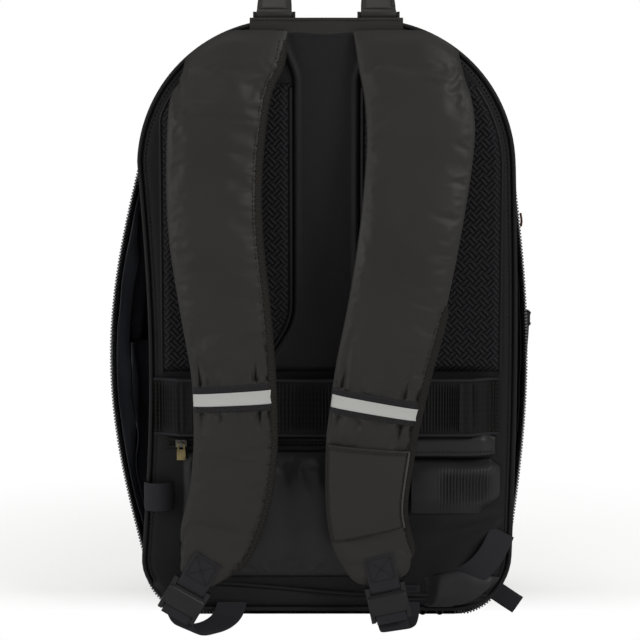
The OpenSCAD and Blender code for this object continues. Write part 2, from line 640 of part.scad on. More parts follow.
// Flat card pocket sewn on the right strap
card_from = 9;
card_to = 11;
module strap_right_pocket() {
    c = strap_line(STRAP_RIGHT);
    w = strap_across(STRAP_RIGHT);
    color(strap_grey) strip(slice(c, card_from, card_to), [for (v = slice(w, card_from, card_to)) v*0.96],
        strap_t/2 + lie_gap/2, strap_t/2 + 2.2);
}

// ---- Ladder locks, in a frame with its origin on the pivot and z along the strap's end ----
pivot_drop = 5;
lock_depth = -3;
rail_w = 3.5;
lock_wide = max(lock_w, webbing_w + 2*rail_w);
rail_t = 6;
lock_l = 26;
mid_bar = -12;
low_bar = -23.5;
mid_r = 2.2;
low_r = 2.4;
tab_l = 22;
function end_dir(angle) = [-sin(angle), 0, -cos(angle)];
function strap_end(table) = strap_line(table)[len(table) - 1];
function lock_origin(table, angle) = strap_end(table) + end_dir(angle)*pivot_drop + [0, lock_depth, 0];
module at_lock(table, angle) {
    translate(lock_origin(table, angle)) rotate([0, angle, 0]) children();
}
module ladder_lock(table, angle) {
    rail_x = lock_wide/2 - rail_w;
    color(plastic_black) at_lock(table, angle) union() {
        for (side = [-1, 1]) translate([side > 0 ? rail_x : -rail_x - rail_w, -rail_t/2, -lock_l])
            cube([rail_w, rail_t, lock_l + 2.4]);
        translate([-rail_x - 1, 0, 0]) rotate([0, 90, 0]) cylinder(h = 2*rail_x + 2, r = pivot_r, $fn = 48);
        translate([-rail_x - 1, 0, mid_bar]) rotate([0, 90, 0]) cylinder(h = 2*rail_x + 2, r = mid_r, $fn = 48);
        translate([-rail_x - 1, 0, low_bar]) rotate([0, 90, 0]) cylinder(h = 2*rail_x + 2, r = low_r, $fn = 48);
    }
}
module strap_tab(table, angle) {
    w = webbing_w - 1;
    loop_in = pivot_r + pivot_gap;
    loop_out = loop_in + webbing_t;
    face = lock_depth + strap_t/2 + lie_gap/2;
    color(webbing_black) at_lock(table, angle) translate([-w/2, 0, 0]) rotate([90, 0, 90]) linear_extrude(w)
        difference() {
            union() {
                circle(loop_out, $fn = 48);
                translate([-strap_t/2 - lie_gap/2 - lock_depth - webbing_t, 0])
                    square([webbing_t, pivot_drop + tab_l]);
                translate([-strap_t/2 - lie_gap/2 - lock_depth - webbing_t, 0]) square([3, pivot_drop - 1]);
            }
            circle(loop_in, $fn = 48);
        }
}
module strap_left_tab() { strap_tab(STRAP_LEFT, LEFT_END_ANGLE); }
module strap_right_tab() { strap_tab(STRAP_RIGHT, RIGHT_END_ANGLE); }
module ladder_lock_left() { ladder_lock(STRAP_LEFT, LEFT_END_ANGLE); }
module ladder_lock_right() { ladder_lock(STRAP_RIGHT, RIGHT_END_ANGLE); }

// ---- Adjuster webbing: from the foot of the back panel, down in a loop, up behind the lock,
// over its middle bar and down in front as a tail ----
function lock_point(table, angle, y, z) = lock_origin(table, angle)
    + [sin(angle)*z, y, cos(angle)*z];
bar_turn = mid_r + move_gap + webbing_t/2;
function adjuster_line(table, angle, anchor_x) =
    let (lock_x = lock_origin(table, angle)[0], lock_y = lock_origin(table, angle)[1],
        low = lock_point(table, angle, low_r + move_gap + webbing_t/2, low_bar - 3))
    concat([[anchor_x, back_y - 1.2, 34], [anchor_x, back_y - 1.2, 22],
        [lerp(anchor_x, low[0], 0.08), back_y - 6, 11], [lerp(anchor_x, low[0], 0.25), lerp(back_y - 8, low[1], 0.3), 6],
        [lerp(anchor_x, low[0], 0.5), lerp(back_y - 8, low[1], 0.65), 4.6],
        [lerp(anchor_x, low[0], 0.8), lerp(back_y - 8, low[1], 0.95), 6.6]],
        [lerp(low, lock_point(table, angle, low_r + move_gap + webbing_t/2, mid_bar - 5), 0.35),
        lock_point(table, angle, low_r + move_gap + webbing_t/2, mid_bar - 5)],
        [for (a = [0:36:180]) lock_point(table, angle, bar_turn*cos(a), mid_bar + bar_turn*sin(a))],
        [lock_point(table, angle, -low_r - move_gap - webbing_t/2 - 0.3, low_bar + 3),
        lock_point(table, angle, -low_r - move_gap - webbing_t/2 - 0.3, low_bar - 4)]);
function adjuster_across(line, angle) = [for (i = [0:len(line) - 1])
    let (turned = [cos(angle), 0, -sin(angle)], f = min(max((i - 1)/5, 0), 1))
    unit(lerp([1, 0, 0], turned, f))*(webbing_w/2 - 0.5)];
module adjuster(table, angle, anchor_x) {
    line = adjuster_line(table, angle, anchor_x);
    color(webbing_black) strip(line, adjuster_across(line, angle), -webbing_t/2, webbing_t/2);
}
module adjuster_left() { adjuster(STRAP_LEFT, LEFT_END_ANGLE, -76); }
module adjuster_right() { adjuster(STRAP_RIGHT, RIGHT_END_ANGLE, 64); }

base_panel();
side_panel_left();
side_panel_right();
top_panel();
front_panel();
shell_lining();
base_board();
racket_divider();
shell_zip();
zip_end_tag();
hinge_piping();
corner_tail();
lining_pocket_left();
side_pocket_right();
side_pocket_hem();
front_pocket();
front_pocket_zip();
front_slider();
front_pull();
door_gusset();
back_panel();
back_board();
laptop_sleeve();
door_zip();
door_welt();
mesh_pad_left();
mesh_pad_right();
spine_channel();
luggage_band();
lower_back_pad();
ribbed_panel_right();
harness_yoke();
handle_pins();
side_loop_left();
side_webbing_right();
back_pocket_zip();
back_slider();
back_pull();
zip_slider_inner();
zip_pull_inner();
zip_slider_outer();
zip_pull_outer();
grab_handle();
strap_left_cover();
strap_left_foam();
strap_left_mesh();
strap_left_reflector();
strap_left_tab();
strap_right_cover();
strap_right_foam();
strap_right_mesh();
strap_right_reflector();
strap_right_pocket();
strap_right_tab();
ladder_lock_left();
ladder_lock_right();
adjuster_left();
adjuster_right();
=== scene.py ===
"""Racket backpack: soft goods, webbing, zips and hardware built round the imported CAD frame."""
import math

import bmesh
import bpy
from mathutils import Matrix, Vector, noise


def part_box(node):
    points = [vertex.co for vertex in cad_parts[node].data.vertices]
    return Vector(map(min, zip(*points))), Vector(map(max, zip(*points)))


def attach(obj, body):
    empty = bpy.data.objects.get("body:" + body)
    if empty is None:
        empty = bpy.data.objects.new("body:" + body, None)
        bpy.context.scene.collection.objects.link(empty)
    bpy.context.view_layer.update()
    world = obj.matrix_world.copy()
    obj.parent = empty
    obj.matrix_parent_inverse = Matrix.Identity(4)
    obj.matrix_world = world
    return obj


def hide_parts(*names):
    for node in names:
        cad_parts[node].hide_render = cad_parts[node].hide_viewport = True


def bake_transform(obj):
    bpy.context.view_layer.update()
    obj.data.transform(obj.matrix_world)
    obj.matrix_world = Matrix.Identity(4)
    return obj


bl_info = {
    "name": "Racket Backpack",
    "version": (1, 0, 0),
    "blender": (4, 5, 0),
    "location": "3D View > Sidebar > Backpack",
    "description": "Builds a racket backpack's cloth, padding, webbing and zips round its CAD frame",
    "category": "Object",
}

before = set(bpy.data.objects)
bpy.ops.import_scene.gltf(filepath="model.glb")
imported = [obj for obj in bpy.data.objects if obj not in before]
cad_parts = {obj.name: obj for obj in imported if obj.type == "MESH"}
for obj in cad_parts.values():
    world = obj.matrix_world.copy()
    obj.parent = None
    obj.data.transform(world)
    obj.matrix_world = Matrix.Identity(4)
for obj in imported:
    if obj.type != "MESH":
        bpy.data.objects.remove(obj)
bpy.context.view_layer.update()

MM = 0.001
# Sizes of the bag in millimetres, as the CAD source has them
BAG_W, BAG_H, SHELL_D, DOOR_D = 300, 485, 130, 30
SHOULDER_R, CORNER_R, WALL = 115, 44, 3
DOOR_LIFT, TOP_DROP, TAPER, RIM_GAP = 14, 25, 16, 8
LEFT_SPREAD, RIGHT_SPREAD, WAIST = 26, 14, 8
RIM_Y, FRONT_Y = -SHELL_D / 2, SHELL_D / 2
DOOR_Y = RIM_Y - RIM_GAP
BACK_Y = DOOR_Y - DOOR_D
STRAP_T, STRAP_LENGTH = 10, 450


def span(name, description, size, low, high):
    """A length property, its default and limits in millimetres."""
    return bpy.props.FloatProperty(
        name=name, description=description, default=size * MM, min=low * MM, max=high * MM,
        subtype="DISTANCE", unit="LENGTH")


class BackpackSizes(bpy.types.PropertyGroup):
    """Sizes that change how the cloth and trims are made."""

    stitch_pitch: span("Stitch Pitch", "Distance from one stitch to the next", 3.4, 2, 8)
    tooth_pitch: span("Tooth Pitch", "Distance from one zip tooth to the next", 2.6, 1.5, 5)
    mesh_cell: span("Mesh Cell", "Width of one rib of the basket-woven spacer mesh", 3.4, 2, 12)
    rib_pitch: span("Elastic Rib Pitch", "Distance between the ribs of the luggage band", 2.6, 1.5, 6)
    strap_crown: span("Strap Crown", "How far a shoulder strap's padding stands above its edges", 1.6, 0, 4)
    wrinkle: span("Wrinkle Depth", "Depth of the folds in the bag's walls", 1.5, 0, 4)


def paint(name, description, code):
    """A colour property from its sRGB hex code."""
    return bpy.props.FloatVectorProperty(
        name=name, description=description, subtype="COLOR", size=3, min=0, max=1, default=linear(code)[:3])


def linear(code):
    """A linear RGBA colour from an sRGB hex code."""
    parts = [int(code[i:i + 2], 16) / 255 for i in (1, 3, 5)]
    return tuple(c / 12.92 if c <= 0.04045 else ((c + 0.055) / 1.055) ** 2.4 for c in parts) + (1,)


class BackpackColours(bpy.types.PropertyGroup):
    """Colours of the cloths and trims."""

    bag: paint("Bag Cloth", "Coated polyester of the bag's walls", "#1b1b1d")
    # The panel cloth is lighter than the bag cloth partly for its smoother coating and partly as painted light on the
    # lower back
    panel: paint("Panel Cloth", "Smoother coated cloth of the lower back", "#272728")
    strap: paint("Strap Cloth", "Smooth coated cloth of the shoulder straps", "#31302e")
    mesh: paint("Spacer Mesh", "Knitted mesh on the back and under the straps", "#19181a")
    # The lining's black taffeta is painted lighter and bluer: painted light for the light that reaches into the bag
    lining: paint("Lining", "Glossy taffeta inside the bag", "#3e3f47")
    webbing: paint("Webbing", "Woven webbing and elastic", "#1c1b1b")
    binding: paint("Binding", "Woven tape that binds the straps' edges", "#2b2723")
    plastic: paint("Plastic", "Moulded ladder locks", "#1b1b1d")
    # The zip coil's black nylon is painted light grey: a painted glint along the teeth
    coil: paint("Zip Coil", "Nylon zip teeth", "#77777a")
    reflector: paint("Reflector", "Silver reflective tape", "#cfcfcc")
    tag: paint("Zip End Tag", "Brown tag at the end of the main zip", "#6d3a18")


def sizes():
    return bpy.context.scene.backpack_sizes


def colour(name):
    return tuple(getattr(bpy.context.scene.backpack_colours, name)) + (1,)


# ---- Outlines of the bag, in millimetres ----
FOOT, CORNER, SIDE, SHOULDER, CROWN = 10, 12, 60, 32, 12
I_CORNER, I_SIDE = FOOT, FOOT + CORNER
I_SHOULDER = I_SIDE + SIDE
I_TOP = I_SHOULDER + SHOULDER + CROWN
I_LAST = 2 * I_TOP


def lerp(a, b, t):
    return a + (b - a) * t


def smooth(a, b, x):
    t = min(max((x - a) / (b - a), 0), 1)
    return t * t * (3 - 2 * t)


def bulge(z):
    low, high = CORNER_R + 4, BAG_H - SHOULDER_R + 6
    return 0 if z <= low or z >= high else math.sin(math.pi * (z - low) / (high - low))


def arch(w, z0, z1, rb, rt, left, right):
    """Points of an arched outline from the bottom middle, up the right, over the top and down the left."""
    half = [(lerp(0, w / 2 - rb, i / FOOT), z0) for i in range(FOOT)]
    half += [(w / 2 - rb + rb * math.sin(a), z0 + rb - rb * math.cos(a))
             for a in (math.pi / 2 * i / CORNER for i in range(CORNER))]
    half += [(w / 2, lerp(z0 + rb, z1 - rt, i / SIDE)) for i in range(SIDE)]
    half += [(w / 2 - rt + rt * math.cos(a), z1 - rt + rt * math.sin(a))
             for a in (math.pi / 2 * i / SHOULDER for i in range(SHOULDER))]
    half += [(lerp(w / 2 - rt, 0, i / CROWN), z1) for i in range(CROWN + 1)]

    def spread(p, side, amount):
        return side * (p[0] + (amount * bulge(p[1]) if p[0] > w / 4 else 0)), p[1]
    return [spread(p, 1, right) for p in half] + [spread(p, -1, left) for p in half[-2::-1]]


def shell_outline(v, inset=0):
    k = (1 - v) ** 1.5
    return arch(BAG_W - TAPER * v - 2 * inset, inset, BAG_H - TOP_DROP * v * v - inset,
                CORNER_R - inset, SHOULDER_R - inset, LEFT_SPREAD * k, RIGHT_SPREAD * k)


def back_outline(inset=0):
    return arch(BAG_W - 4 - 2 * inset, DOOR_LIFT + inset, BAG_H - inset,
                CORNER_R - inset, SHOULDER_R - inset, -WAIST, 3)


def edge_x(points, z, side):
    """x of an outline's right (side 1) or left (side -1) edge at a height."""
    run = points[I_CORNER:I_TOP + 1] if side > 0 else points[I_TOP:I_LAST - I_CORNER + 1][::-1]
    z = min(max(z, run[0][1]), run[-1][1])
    for a, b in zip(run, run[1:]):
        if a[1] <= z <= b[1] and b[1] > a[1]:
            return lerp(a[0], b[0], (z - a[1]) / (b[1] - a[1]))
    return run[-1][0]


def curve_points(keys, n):
    """n + 1 rows evenly spaced along a smooth line through the keys; each key is a list of equal-length tuples."""
    rows = []
    last = len(keys) - 1
    lengths = [max((Vector(b[0]) - Vector(a[0])).length, 1e-6) for a, b in zip(keys, keys[1:])]
    total = sum(lengths)
    for k in range(n + 1):
        at, i = total * k / n, 0
        while i < last - 1 and at > lengths[i]:
            at -= lengths[i]
            i += 1
        t = min(at / lengths[i], 1)
        row = []
        for part in range(len(keys[0])):
            p0, p1, p2, p3 = (Vector(keys[min(max(j, 0), last)][part]) for j in (i - 1, i, i + 1, i + 2))
            m1 = (p2 - p0) / 2 if i > 0 else p2 - p1
            m2 = (p3 - p1) / 2 if i < last - 1 else p2 - p1
            row.append((2 * t**3 - 3 * t**2 + 1) * p1 + (t**3 - 2 * t**2 + t) * m1
                       + (3 * t**2 - 2 * t**3) * p2 + (t**3 - t**2) * m2)
        rows.append(row)
    return rows


def folds(x, y, z, size, seed=0.0):
    """Soft irregular folds, from about -1 to 1, of a given size in millimetres."""
    return noise.noise(Vector((x / size + seed, y / size, z / size)))


# ---- Making pieces ----
def cloth_grid(nu, nv, place, size=(1, 1), wrap=False):
    """A bmesh grid whose vertex at (u, v), each from 0 to 1, is moved to place(u, v) in millimetres.
    Its UV map is in metres; wrap joins the two ends of u."""
    bm = bmesh.new()
    bmesh.ops.create_grid(bm, x_segments=nu, y_segments=nv, size=0.5, calc_uvs=True)
    uv = bm.loops.layers.uv.verify()
    for f in bm.faces:
        for loop in f.loops:
            c = loop.vert.co
            loop[uv].uv = ((c.x + 0.5) * size[0] * MM, (c.y + 0.5) * size[1] * MM)
    for v in bm.verts:
        v.co = Vector(place(round((v.co.x + 0.5) * nu) / nu, round((v.co.y + 0.5) * nv) / nv)) * MM
    if wrap:
        bmesh.ops.remove_doubles(bm, verts=bm.verts, dist=1e-6)
    return bm


def face_out(bm, way):
    """Turns the faces so that, on the whole, their normals point a way: a vector, or a function of the place."""
    outward = way if callable(way) else lambda place: Vector(way)
    bm.normal_update()
    if sum(f.normal.dot(outward(f.calc_center_median())) * f.calc_area() for f in bm.faces) < 0:
        bmesh.ops.reverse_faces(bm, faces=bm.faces)


def frames_along(centres, across):
    """Unit normals of a ribbon along centre points with half-width vectors across it."""
    out = []
    for i in range(len(centres)):
        t = centres[min(i + 1, len(centres) - 1)] - centres[max(i - 1, 0)]
        out.append(t.cross(across[i]).normalized())
    return out


def sweep(centres, across, profile, size=None, cap=True):
    """A closed section swept along a line. profile(u, v) gives (share of the half width, height off the middle)."""
    centres = [Vector(c) for c in centres]
    across = [Vector(a) for a in across]
    normals = frames_along(centres, across)
    nv = len(centres) - 1
    length = sum((b - a).length for a, b in zip(centres, centres[1:]))
    nu = profile.steps

    def place(u, v):
        k = round(v * nv)
        share, height = profile(u % 1, v)
        return centres[k] + across[k] * share + normals[k] * height
    bm = cloth_grid(nu, nv, place, size or (across[nv // 2].length * 4, length), wrap=True)
    if cap:
        bmesh.ops.holes_fill(bm, edges=[e for e in bm.edges if e.is_boundary], sides=nu)
    bmesh.ops.recalc_face_normals(bm, faces=bm.faces)
    return bm


def sweep_rows(rows, profile, **more):
    """A closed section swept along rows that begin with a centre and a half-width vector."""
    return sweep([r[0] for r in rows], [r[1] for r in rows], profile, **more)


def signed(x, power):
    """x to a power, with its sign kept."""
    return math.copysign(abs(x) ** power, x)


def section(steps, shape):
    shape.steps = steps
    return shape


def flat_section(half_t, half_w, steps=16, edge=None):
    """Section of a flat tape with round edges."""
    edge = edge or half_t
    side = 1 - edge / half_w

    def shape(u, v):
        a = 2 * math.pi * u
        c, s = math.cos(a), math.sin(a)
        x = signed(c, 0.35) * side if abs(s) > 0.3 else c * 1.0
        y = signed(s, 0.5) * half_t
        return x, y
    return section(steps, shape)


def round_section(r, steps=8):
    return section(steps, lambda u, v: (math.cos(2 * math.pi * u), math.sin(2 * math.pi * u) * r))


def tube(path, r, steps=8, n=None):
    """A round cord through the points of a path."""
    points = [Vector(p) for p in path]
    if n:
        points = [row[0] for row in curve_points([[tuple(p)] for p in points], n)]
    across = []
    side = None
    for i in range(len(points)):
        t = (points[min(i + 1, len(points) - 1)] - points[max(i - 1, 0)]).normalized()
        if side is None:
            side = t.orthogonal().normalized()
        side = (side - t * side.dot(t)).normalized()
        across.append(side * r)
    return sweep(points, across, round_section(r, steps), size=(2 * math.pi * r, 1))


def ribbon(keys, half_t, n, steps=16, profile=None):
    """Flat webbing through (centre, half-width vector) keys."""
    rows = curve_points(keys, n)
    half_w = rows[0][1].length
    return sweep_rows(rows, profile or flat_section(half_t, half_w, steps))


def panel_rows(nx, nz, z_range, left, right, depth):
    """A panel facing the wearer: rows by height z, x from left(z) to right(z), y from depth(x, z, u, v)."""
    z0, z1 = z_range

    def place(u, v):
        z = lerp(z0, z1, v)
        x = lerp(left(z), right(z), u)
        return x, depth(x, z, u, v), z
    bm = cloth_grid(nx, nz, place)
    uv = bm.loops.layers.uv.verify()
    for f in bm.faces:
        for loop in f.loops:
            loop[uv].uv = (loop.vert.co.x, loop.vert.co.z)
    return bm


def disc_rows(outline, rings, nu=None):
    """A panel closed to a pole: rings are (inset, y) pairs from the rim inward; outline(inset) gives points."""
    nu = nu or len(outline(0)) - 1
    loops = [outline(i) if i is not None else None for i, _ in rings]
    first = next(line for line in loops if line)
    cx = sum(p[0] for p in first) / len(first)
    cz = (min(p[1] for p in first) + max(p[1] for p in first)) / 2

    def place(u, v):
        k = round(v * (len(rings) - 1))
        i = round(u * nu) % nu
        y = rings[k][1]
        if loops[k] is None:
            return cx, y, cz
        return loops[k][i][0], y, loops[k][i][1]
    bm = cloth_grid(nu, len(rings) - 1, place, wrap=True)
    bmesh.ops.dissolve_degenerate(bm, dist=1e-6, edges=bm.edges)
    uv = bm.loops.layers.uv.verify()
    for f in bm.faces:
        for loop in f.loops:
            loop[uv].uv = (loop.vert.co.x, loop.vert.co.z)
    return bm


def push(bm, amount):
    """Moves each vertex along its normal by amount(co) millimetres; co is in millimetres."""
    bm.normal_update()
    moves = [(v, v.normal * amount(v.co / MM) * MM) for v in bm.verts]
    for v, d in moves:
        v.co += d


def finish_piece(name, bm, finish, body, slot, replaces=(), thick=0, offset=-1, subdivide=0, sharp=40):
    """Turns a bmesh into a piece that rides on a body."""
    data = bpy.data.meshes.new(name)
    limit = math.radians(sharp)
    for f in bm.faces:
        f.smooth = True
    for e in bm.edges:
        e.smooth = not (len(e.link_faces) == 2 and e.calc_face_angle(0) > limit)
    bm.to_mesh(data)
    bm.free()
    obj = bpy.data.objects.new(name, data)
    bpy.context.scene.collection.objects.link(obj)
    for m in finish if isinstance(finish, (list, tuple)) else [finish]:
        data.materials.append(m)
    if thick:
        solid = obj.modifiers.new("Thickness", "SOLIDIFY")
        solid.thickness, solid.offset, solid.use_even_offset = thick * MM, offset, False
    if subdivide:
        sub = obj.modifiers.new("Smooth", "SUBSURF")
        sub.levels = sub.render_levels = subdivide
    if body:
        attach(obj, body)
    if replaces:
        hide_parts(*replaces)
    return obj


def evenly(points, pitch):
    """(place, direction) at each pitch along a line of points, both ends left clear by half a pitch."""
    points = [Vector(p) for p in points]
    out, rest = [], pitch / 2
    for a, b in zip(points, points[1:]):
        step = b - a
        length = step.length
        while rest < length:
            out.append((a + step * (rest / length), step / length))
            rest += pitch
        rest -= length
    return out


def bead(bm, place, along, up, size):
    """A small pillow-shaped bead, as a stitch or a tooth, with its long side along a direction."""
    new = bmesh.ops.create_cube(bm, size=1)["verts"]
    along = along.normalized()
    side = up.cross(along).normalized()
    up = along.cross(side)
    for v in new:
        c = v.co
        taper = 0.72 if c.z > 0 else 1
        v.co = (place + along * c.x * size[0] * (0.8 if c.z > 0 else 1) + side * c.y * size[1] * taper
                + up * c.z * size[2]) * MM
    return new


def stitches(name, lines, body, pitch=None, thread=(2.3, 0.75, 0.7), up=(0, -1, 0)):
    """Rows of stitches lying on a surface along lines of points."""
    pitch = pitch or sizes().stitch_pitch / MM
    bm = bmesh.new()
    for line in lines:
        for place, along in evenly(line, pitch):
            bead(bm, place, along, Vector(up), thread)
    return finish_piece(name, bm, material("thread"), body, "webbing", subdivide=0)


# ---- Finishes ----
def add(nt, kind, inputs=None, **settings):
    """Adds a node with its settings; an input's value is a number, a colour or another node's output."""
    n = nt.nodes.new(kind)
    for key, value in settings.items():
        setattr(n, key, value)
    for key, value in (inputs or {}).items():
        socket = n.inputs[key]
        if isinstance(value, bpy.types.NodeSocket):
            nt.links.new(value, socket)
        else:
            socket.default_value = value
    return n


def shade(rgba, k):
    return tuple(min(c * k, 1) for c in rgba[:3]) + (1,)


# Each finish: its colour's name, roughness, specular level, sheen, metallic, and what its surface shows:
# coordinates, pattern (kind, pitch in millimetres across and along), how deep, mottle and fine grain
FINISHES = {
    # 600 denier polyester with a polyurethane face: dull, with a fine plain weave showing through
    "bag_cloth": dict(base="bag", rough=0.6, spec=0.3, sheen=0.0, pattern="weave", pitch=(1.5, 1.5), deep=0.25),
    # The same cloth with a heavier, smoother coating: a satin face that shows its folds; its lighter colour is partly
    # that coating and partly painted light on the lower back
    "panel_cloth": dict(base="panel", rough=0.48, spec=0.4, sheen=0.0, pattern="grain", pitch=(1.4, 1.4), deep=0.15,
                        mottle=0.12),
    # Smooth coated microfibre over foam: a soft satin face with a faint leather-like grain
    "strap_cloth": dict(base="strap", rough=0.52, spec=0.3, sheen=0.0, pattern="grain", pitch=(1.1, 1.1), deep=0.22,
                        mottle=0.12),
    # Taffeta lining, calendered: slippery and glossy, with hard creases; its colour is painted lighter than the black
    # taffeta, as painted light inside the bag
    "taffeta": dict(base="lining", rough=0.34, spec=0.5, sheen=0.0, pattern="weave", pitch=(1.2, 1.2), deep=0.1,
                    mottle=0.2),
    # Three-layer knitted spacer mesh: matt yarn with dark holes between the ribs; its colour holds painted shade in
    # the holes and painted highlight on the ribs
    "spacer_mesh": dict(base="mesh", rough=0.8, spec=0.2, sheen=0.0, pattern="basket", pitch=(3.4, 3.4), deep=0.6,
                        mottle=0.15),
    # Polyester webbing: lengthwise warp ribs crossed by a fine weft
    "webbing": dict(base="webbing", rough=0.66, spec=0.35, sheen=0.0, pattern="warp", pitch=(1.6, 1.3), deep=0.6),
    # Elastic rib: rubber-cored ribs right across the band
    "elastic": dict(base="webbing", rough=0.7, spec=0.25, sheen=0.0, pattern="weave", pitch=(1.1, 1.0), deep=0.4),
    # Open-weave binding tape folded over an edge
    "binding": dict(base="binding", rough=0.74, spec=0.25, sheen=0.0, pattern="twill", pitch=(2.4, 2.4), deep=1.0,
                    mottle=0.1),
    # Glass-filled acetal, moulded with a fine spark texture
    "acetal": dict(base="plastic", rough=0.42, spec=0.5, sheen=0.0, pattern="spark", pitch=(0.8, 0.8), deep=0.08),
    # Nylon monofilament teeth: smooth and slightly glossy; their black is painted light grey as a painted glint
    "nylon_coil": dict(base="coil", rough=0.3, spec=0.6, sheen=0.0, pattern=None),
    # Woven polyester zip tape
    "zip_tape": dict(base="webbing", rough=0.72, spec=0.3, sheen=0.0, pattern="twill", pitch=(1.4, 1.4), deep=0.5),
    # Bonded polyester thread
    "thread": dict(base="binding", rough=0.5, spec=0.4, sheen=0.0, pattern=None),
    # Glass-bead reflective tape: a flat silver face
    "reflective_tape": dict(base="reflector", rough=0.38, spec=0.5, sheen=0.0, pattern="spark", pitch=(0.9, 0.9),
                            deep=0.05, mottle=0.05),
    # Edge paint on a cut edge: a glossy polyurethane bead
    "edge_paint": dict(base="binding", rough=0.16, spec=0.9, sheen=0.0, pattern=None),
    # Split leather tag, brown
    "leather_tag": dict(base="tag", rough=0.6, spec=0.4, sheen=0.0, pattern="grain", pitch=(1.2, 1.2), deep=0.4,
                        mottle=0.2),
    # Polyethylene stiffener board, extruded
    "stiffener": dict(base="plastic", rough=0.5, spec=0.5, sheen=0.0, pattern="spark", pitch=(1.5, 1.5), deep=0.1),
    # Die-cast zinc, black-nickel plated
    "black_nickel": dict(code="#6b6862", rough=0.34, spec=0.5, metallic=1, sheen=0, pattern="spark", pitch=(0.7, 0.7),
                         deep=0.04),
    # Die-cast zinc, brass plated
    "brass_plate": dict(code="#938560", rough=0.3, spec=0.5, metallic=1, sheen=0, pattern="spark", pitch=(0.7, 0.7),
                        deep=0.04),
}
OBJECT_PATTERNS = ("grain", "spark", "basket")


def waves(nt, coords, pitch, direction, profile="SIN"):
    """A wave band of a pitch in millimetres; a wave texture's band repeats every 2 pi / 20 of its coordinate."""
    return add(nt, "ShaderNodeTexWave", {"Vector": coords, "Scale": math.pi / 10 / (pitch * MM), "Distortion": 0.0},
               wave_type="BANDS", bands_direction=direction, wave_profile=profile).outputs["Fac"]


def pattern_height(nt, spec, coords):
    """Height of a finish's surface pattern, 0 to 1."""
    kind, (across, along) = spec["pattern"], spec["pitch"]
    if kind in ("weave", "warp"):
        a, b = waves(nt, coords, across, "X"), waves(nt, coords, along, "Y")
        mix = add(nt, "ShaderNodeMath", {0: a, 1: b}, operation="MULTIPLY" if kind == "weave" else "ADD")
        return mix.outputs[0]
    if kind == "twill":
        a = waves(nt, coords, across, "DIAGONAL")
        return add(nt, "ShaderNodeMath", {0: a, 1: waves(nt, coords, along, "Y")}, operation="MULTIPLY").outputs[0]
    if kind == "basket":
        # Two ribs one way and two the other, in blocks on the bias, the same on both sides of the spine
        parts = add(nt, "ShaderNodeSeparateXYZ", {"Vector": coords})
        aside = add(nt, "ShaderNodeMath", {0: parts.outputs["X"]}, operation="ABSOLUTE")
        flat = add(nt, "ShaderNodeCombineXYZ", {"X": aside.outputs[0], "Z": parts.outputs["Z"]})
        turned = add(nt, "ShaderNodeMapping",
                     {"Vector": flat.outputs[0], "Rotation": (0, math.radians(45), 0)}).outputs[0]
        blocks = add(nt, "ShaderNodeTexChecker", {"Vector": turned, "Scale": 1 / (2 * across * MM)})
        ribs = add(nt, "ShaderNodeMix", {"Factor": blocks.outputs["Fac"], "A": waves(nt, turned, across, "X"),
                                         "B": waves(nt, turned, along, "Z")}, data_type="FLOAT")
        return ribs.outputs["Result"]
    detail = 4.0 if kind == "grain" else 2.0
    return add(nt, "ShaderNodeTexNoise", {"Vector": coords, "Scale": 1 / (across * MM), "Detail": detail,
                                          "Roughness": 0.6}).outputs["Fac"]


def material(name):
    """A procedural material, made once from its row in FINISHES."""
    made = bpy.data.materials.get(name)
    if made:
        return made
    spec = FINISHES[name]
    made = bpy.data.materials.new(name)
    made.use_nodes = True
    nt = made.node_tree
    shader = nt.nodes["Principled BSDF"]
    base = linear(spec["code"]) if "code" in spec else colour(spec["base"])
    shader.inputs["Specular IOR Level"].default_value = spec["spec"]
    shader.inputs["Metallic"].default_value = spec.get("metallic", 0)
    if spec["sheen"]:
        shader.inputs["Sheen Weight"].default_value = spec["sheen"]
        shader.inputs["Sheen Roughness"].default_value = 0.5
    where = add(nt, "ShaderNodeTexCoord")
    solid = where.outputs["Object"]
    own = solid if spec["pattern"] in OBJECT_PATTERNS else where.outputs["UV"]
    # Patches of wear some 60 mm across, where handling has flattened or dulled the face
    cloud = add(nt, "ShaderNodeTexNoise", {"Vector": solid, "Scale": 16.0, "Detail": 3.0, "Roughness": 0.55})
    mottle = spec.get("mottle", 0.1)
    tone = add(nt, "ShaderNodeMix", {"Factor": cloud.outputs["Fac"], "A": shade(base, 1 - mottle),
                                     "B": shade(base, 1 + mottle)}, data_type="RGBA")
    out = tone.outputs["Result"]
    rough = spec["rough"]
    worn = add(nt, "ShaderNodeMapRange", {"Value": cloud.outputs["Fac"], "From Min": 0.3, "From Max": 0.7,
                                          "To Min": max(rough - 0.06, 0.1), "To Max": min(rough + 0.06, 1)})
    nt.links.new(worn.outputs["Result"], shader.inputs["Roughness"])
    if spec["pattern"]:
        height = pattern_height(nt, spec, own)
        # The colour follows the pattern's height: painted shade in its hollows and painted highlight on its crests,
        # strongest on the spacer mesh
        if spec["pattern"] in ("weave", "warp", "twill", "basket"):
            low, high = (0.4, 2.5) if spec["pattern"] == "basket" else (0.75, 1.25)
            dark = add(nt, "ShaderNodeMapRange", {"Value": height, "From Min": 0.1, "From Max": 0.9,
                                                  "To Min": low, "To Max": high})
            out = add(nt, "ShaderNodeVectorMath", {0: out, "Scale": dark.outputs["Result"]},
                      operation="SCALE").outputs[0]
        bump = add(nt, "ShaderNodeBump", {"Height": height, "Strength": min(spec["deep"], 1),
                                          "Distance": 0.25 * min(spec["pitch"]) * MM})
        nt.links.new(bump.outputs["Normal"], shader.inputs["Normal"])
    nt.links.new(out, shader.inputs["Base Color"])
    return made


def dress(node, finish):
    """Gives a CAD node that stays shown its finish."""
    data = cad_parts[node].data
    made = material(finish)
    if data.materials:
        for i in range(len(data.materials)):
            data.materials[i] = made
    else:
        data.materials.append(made)


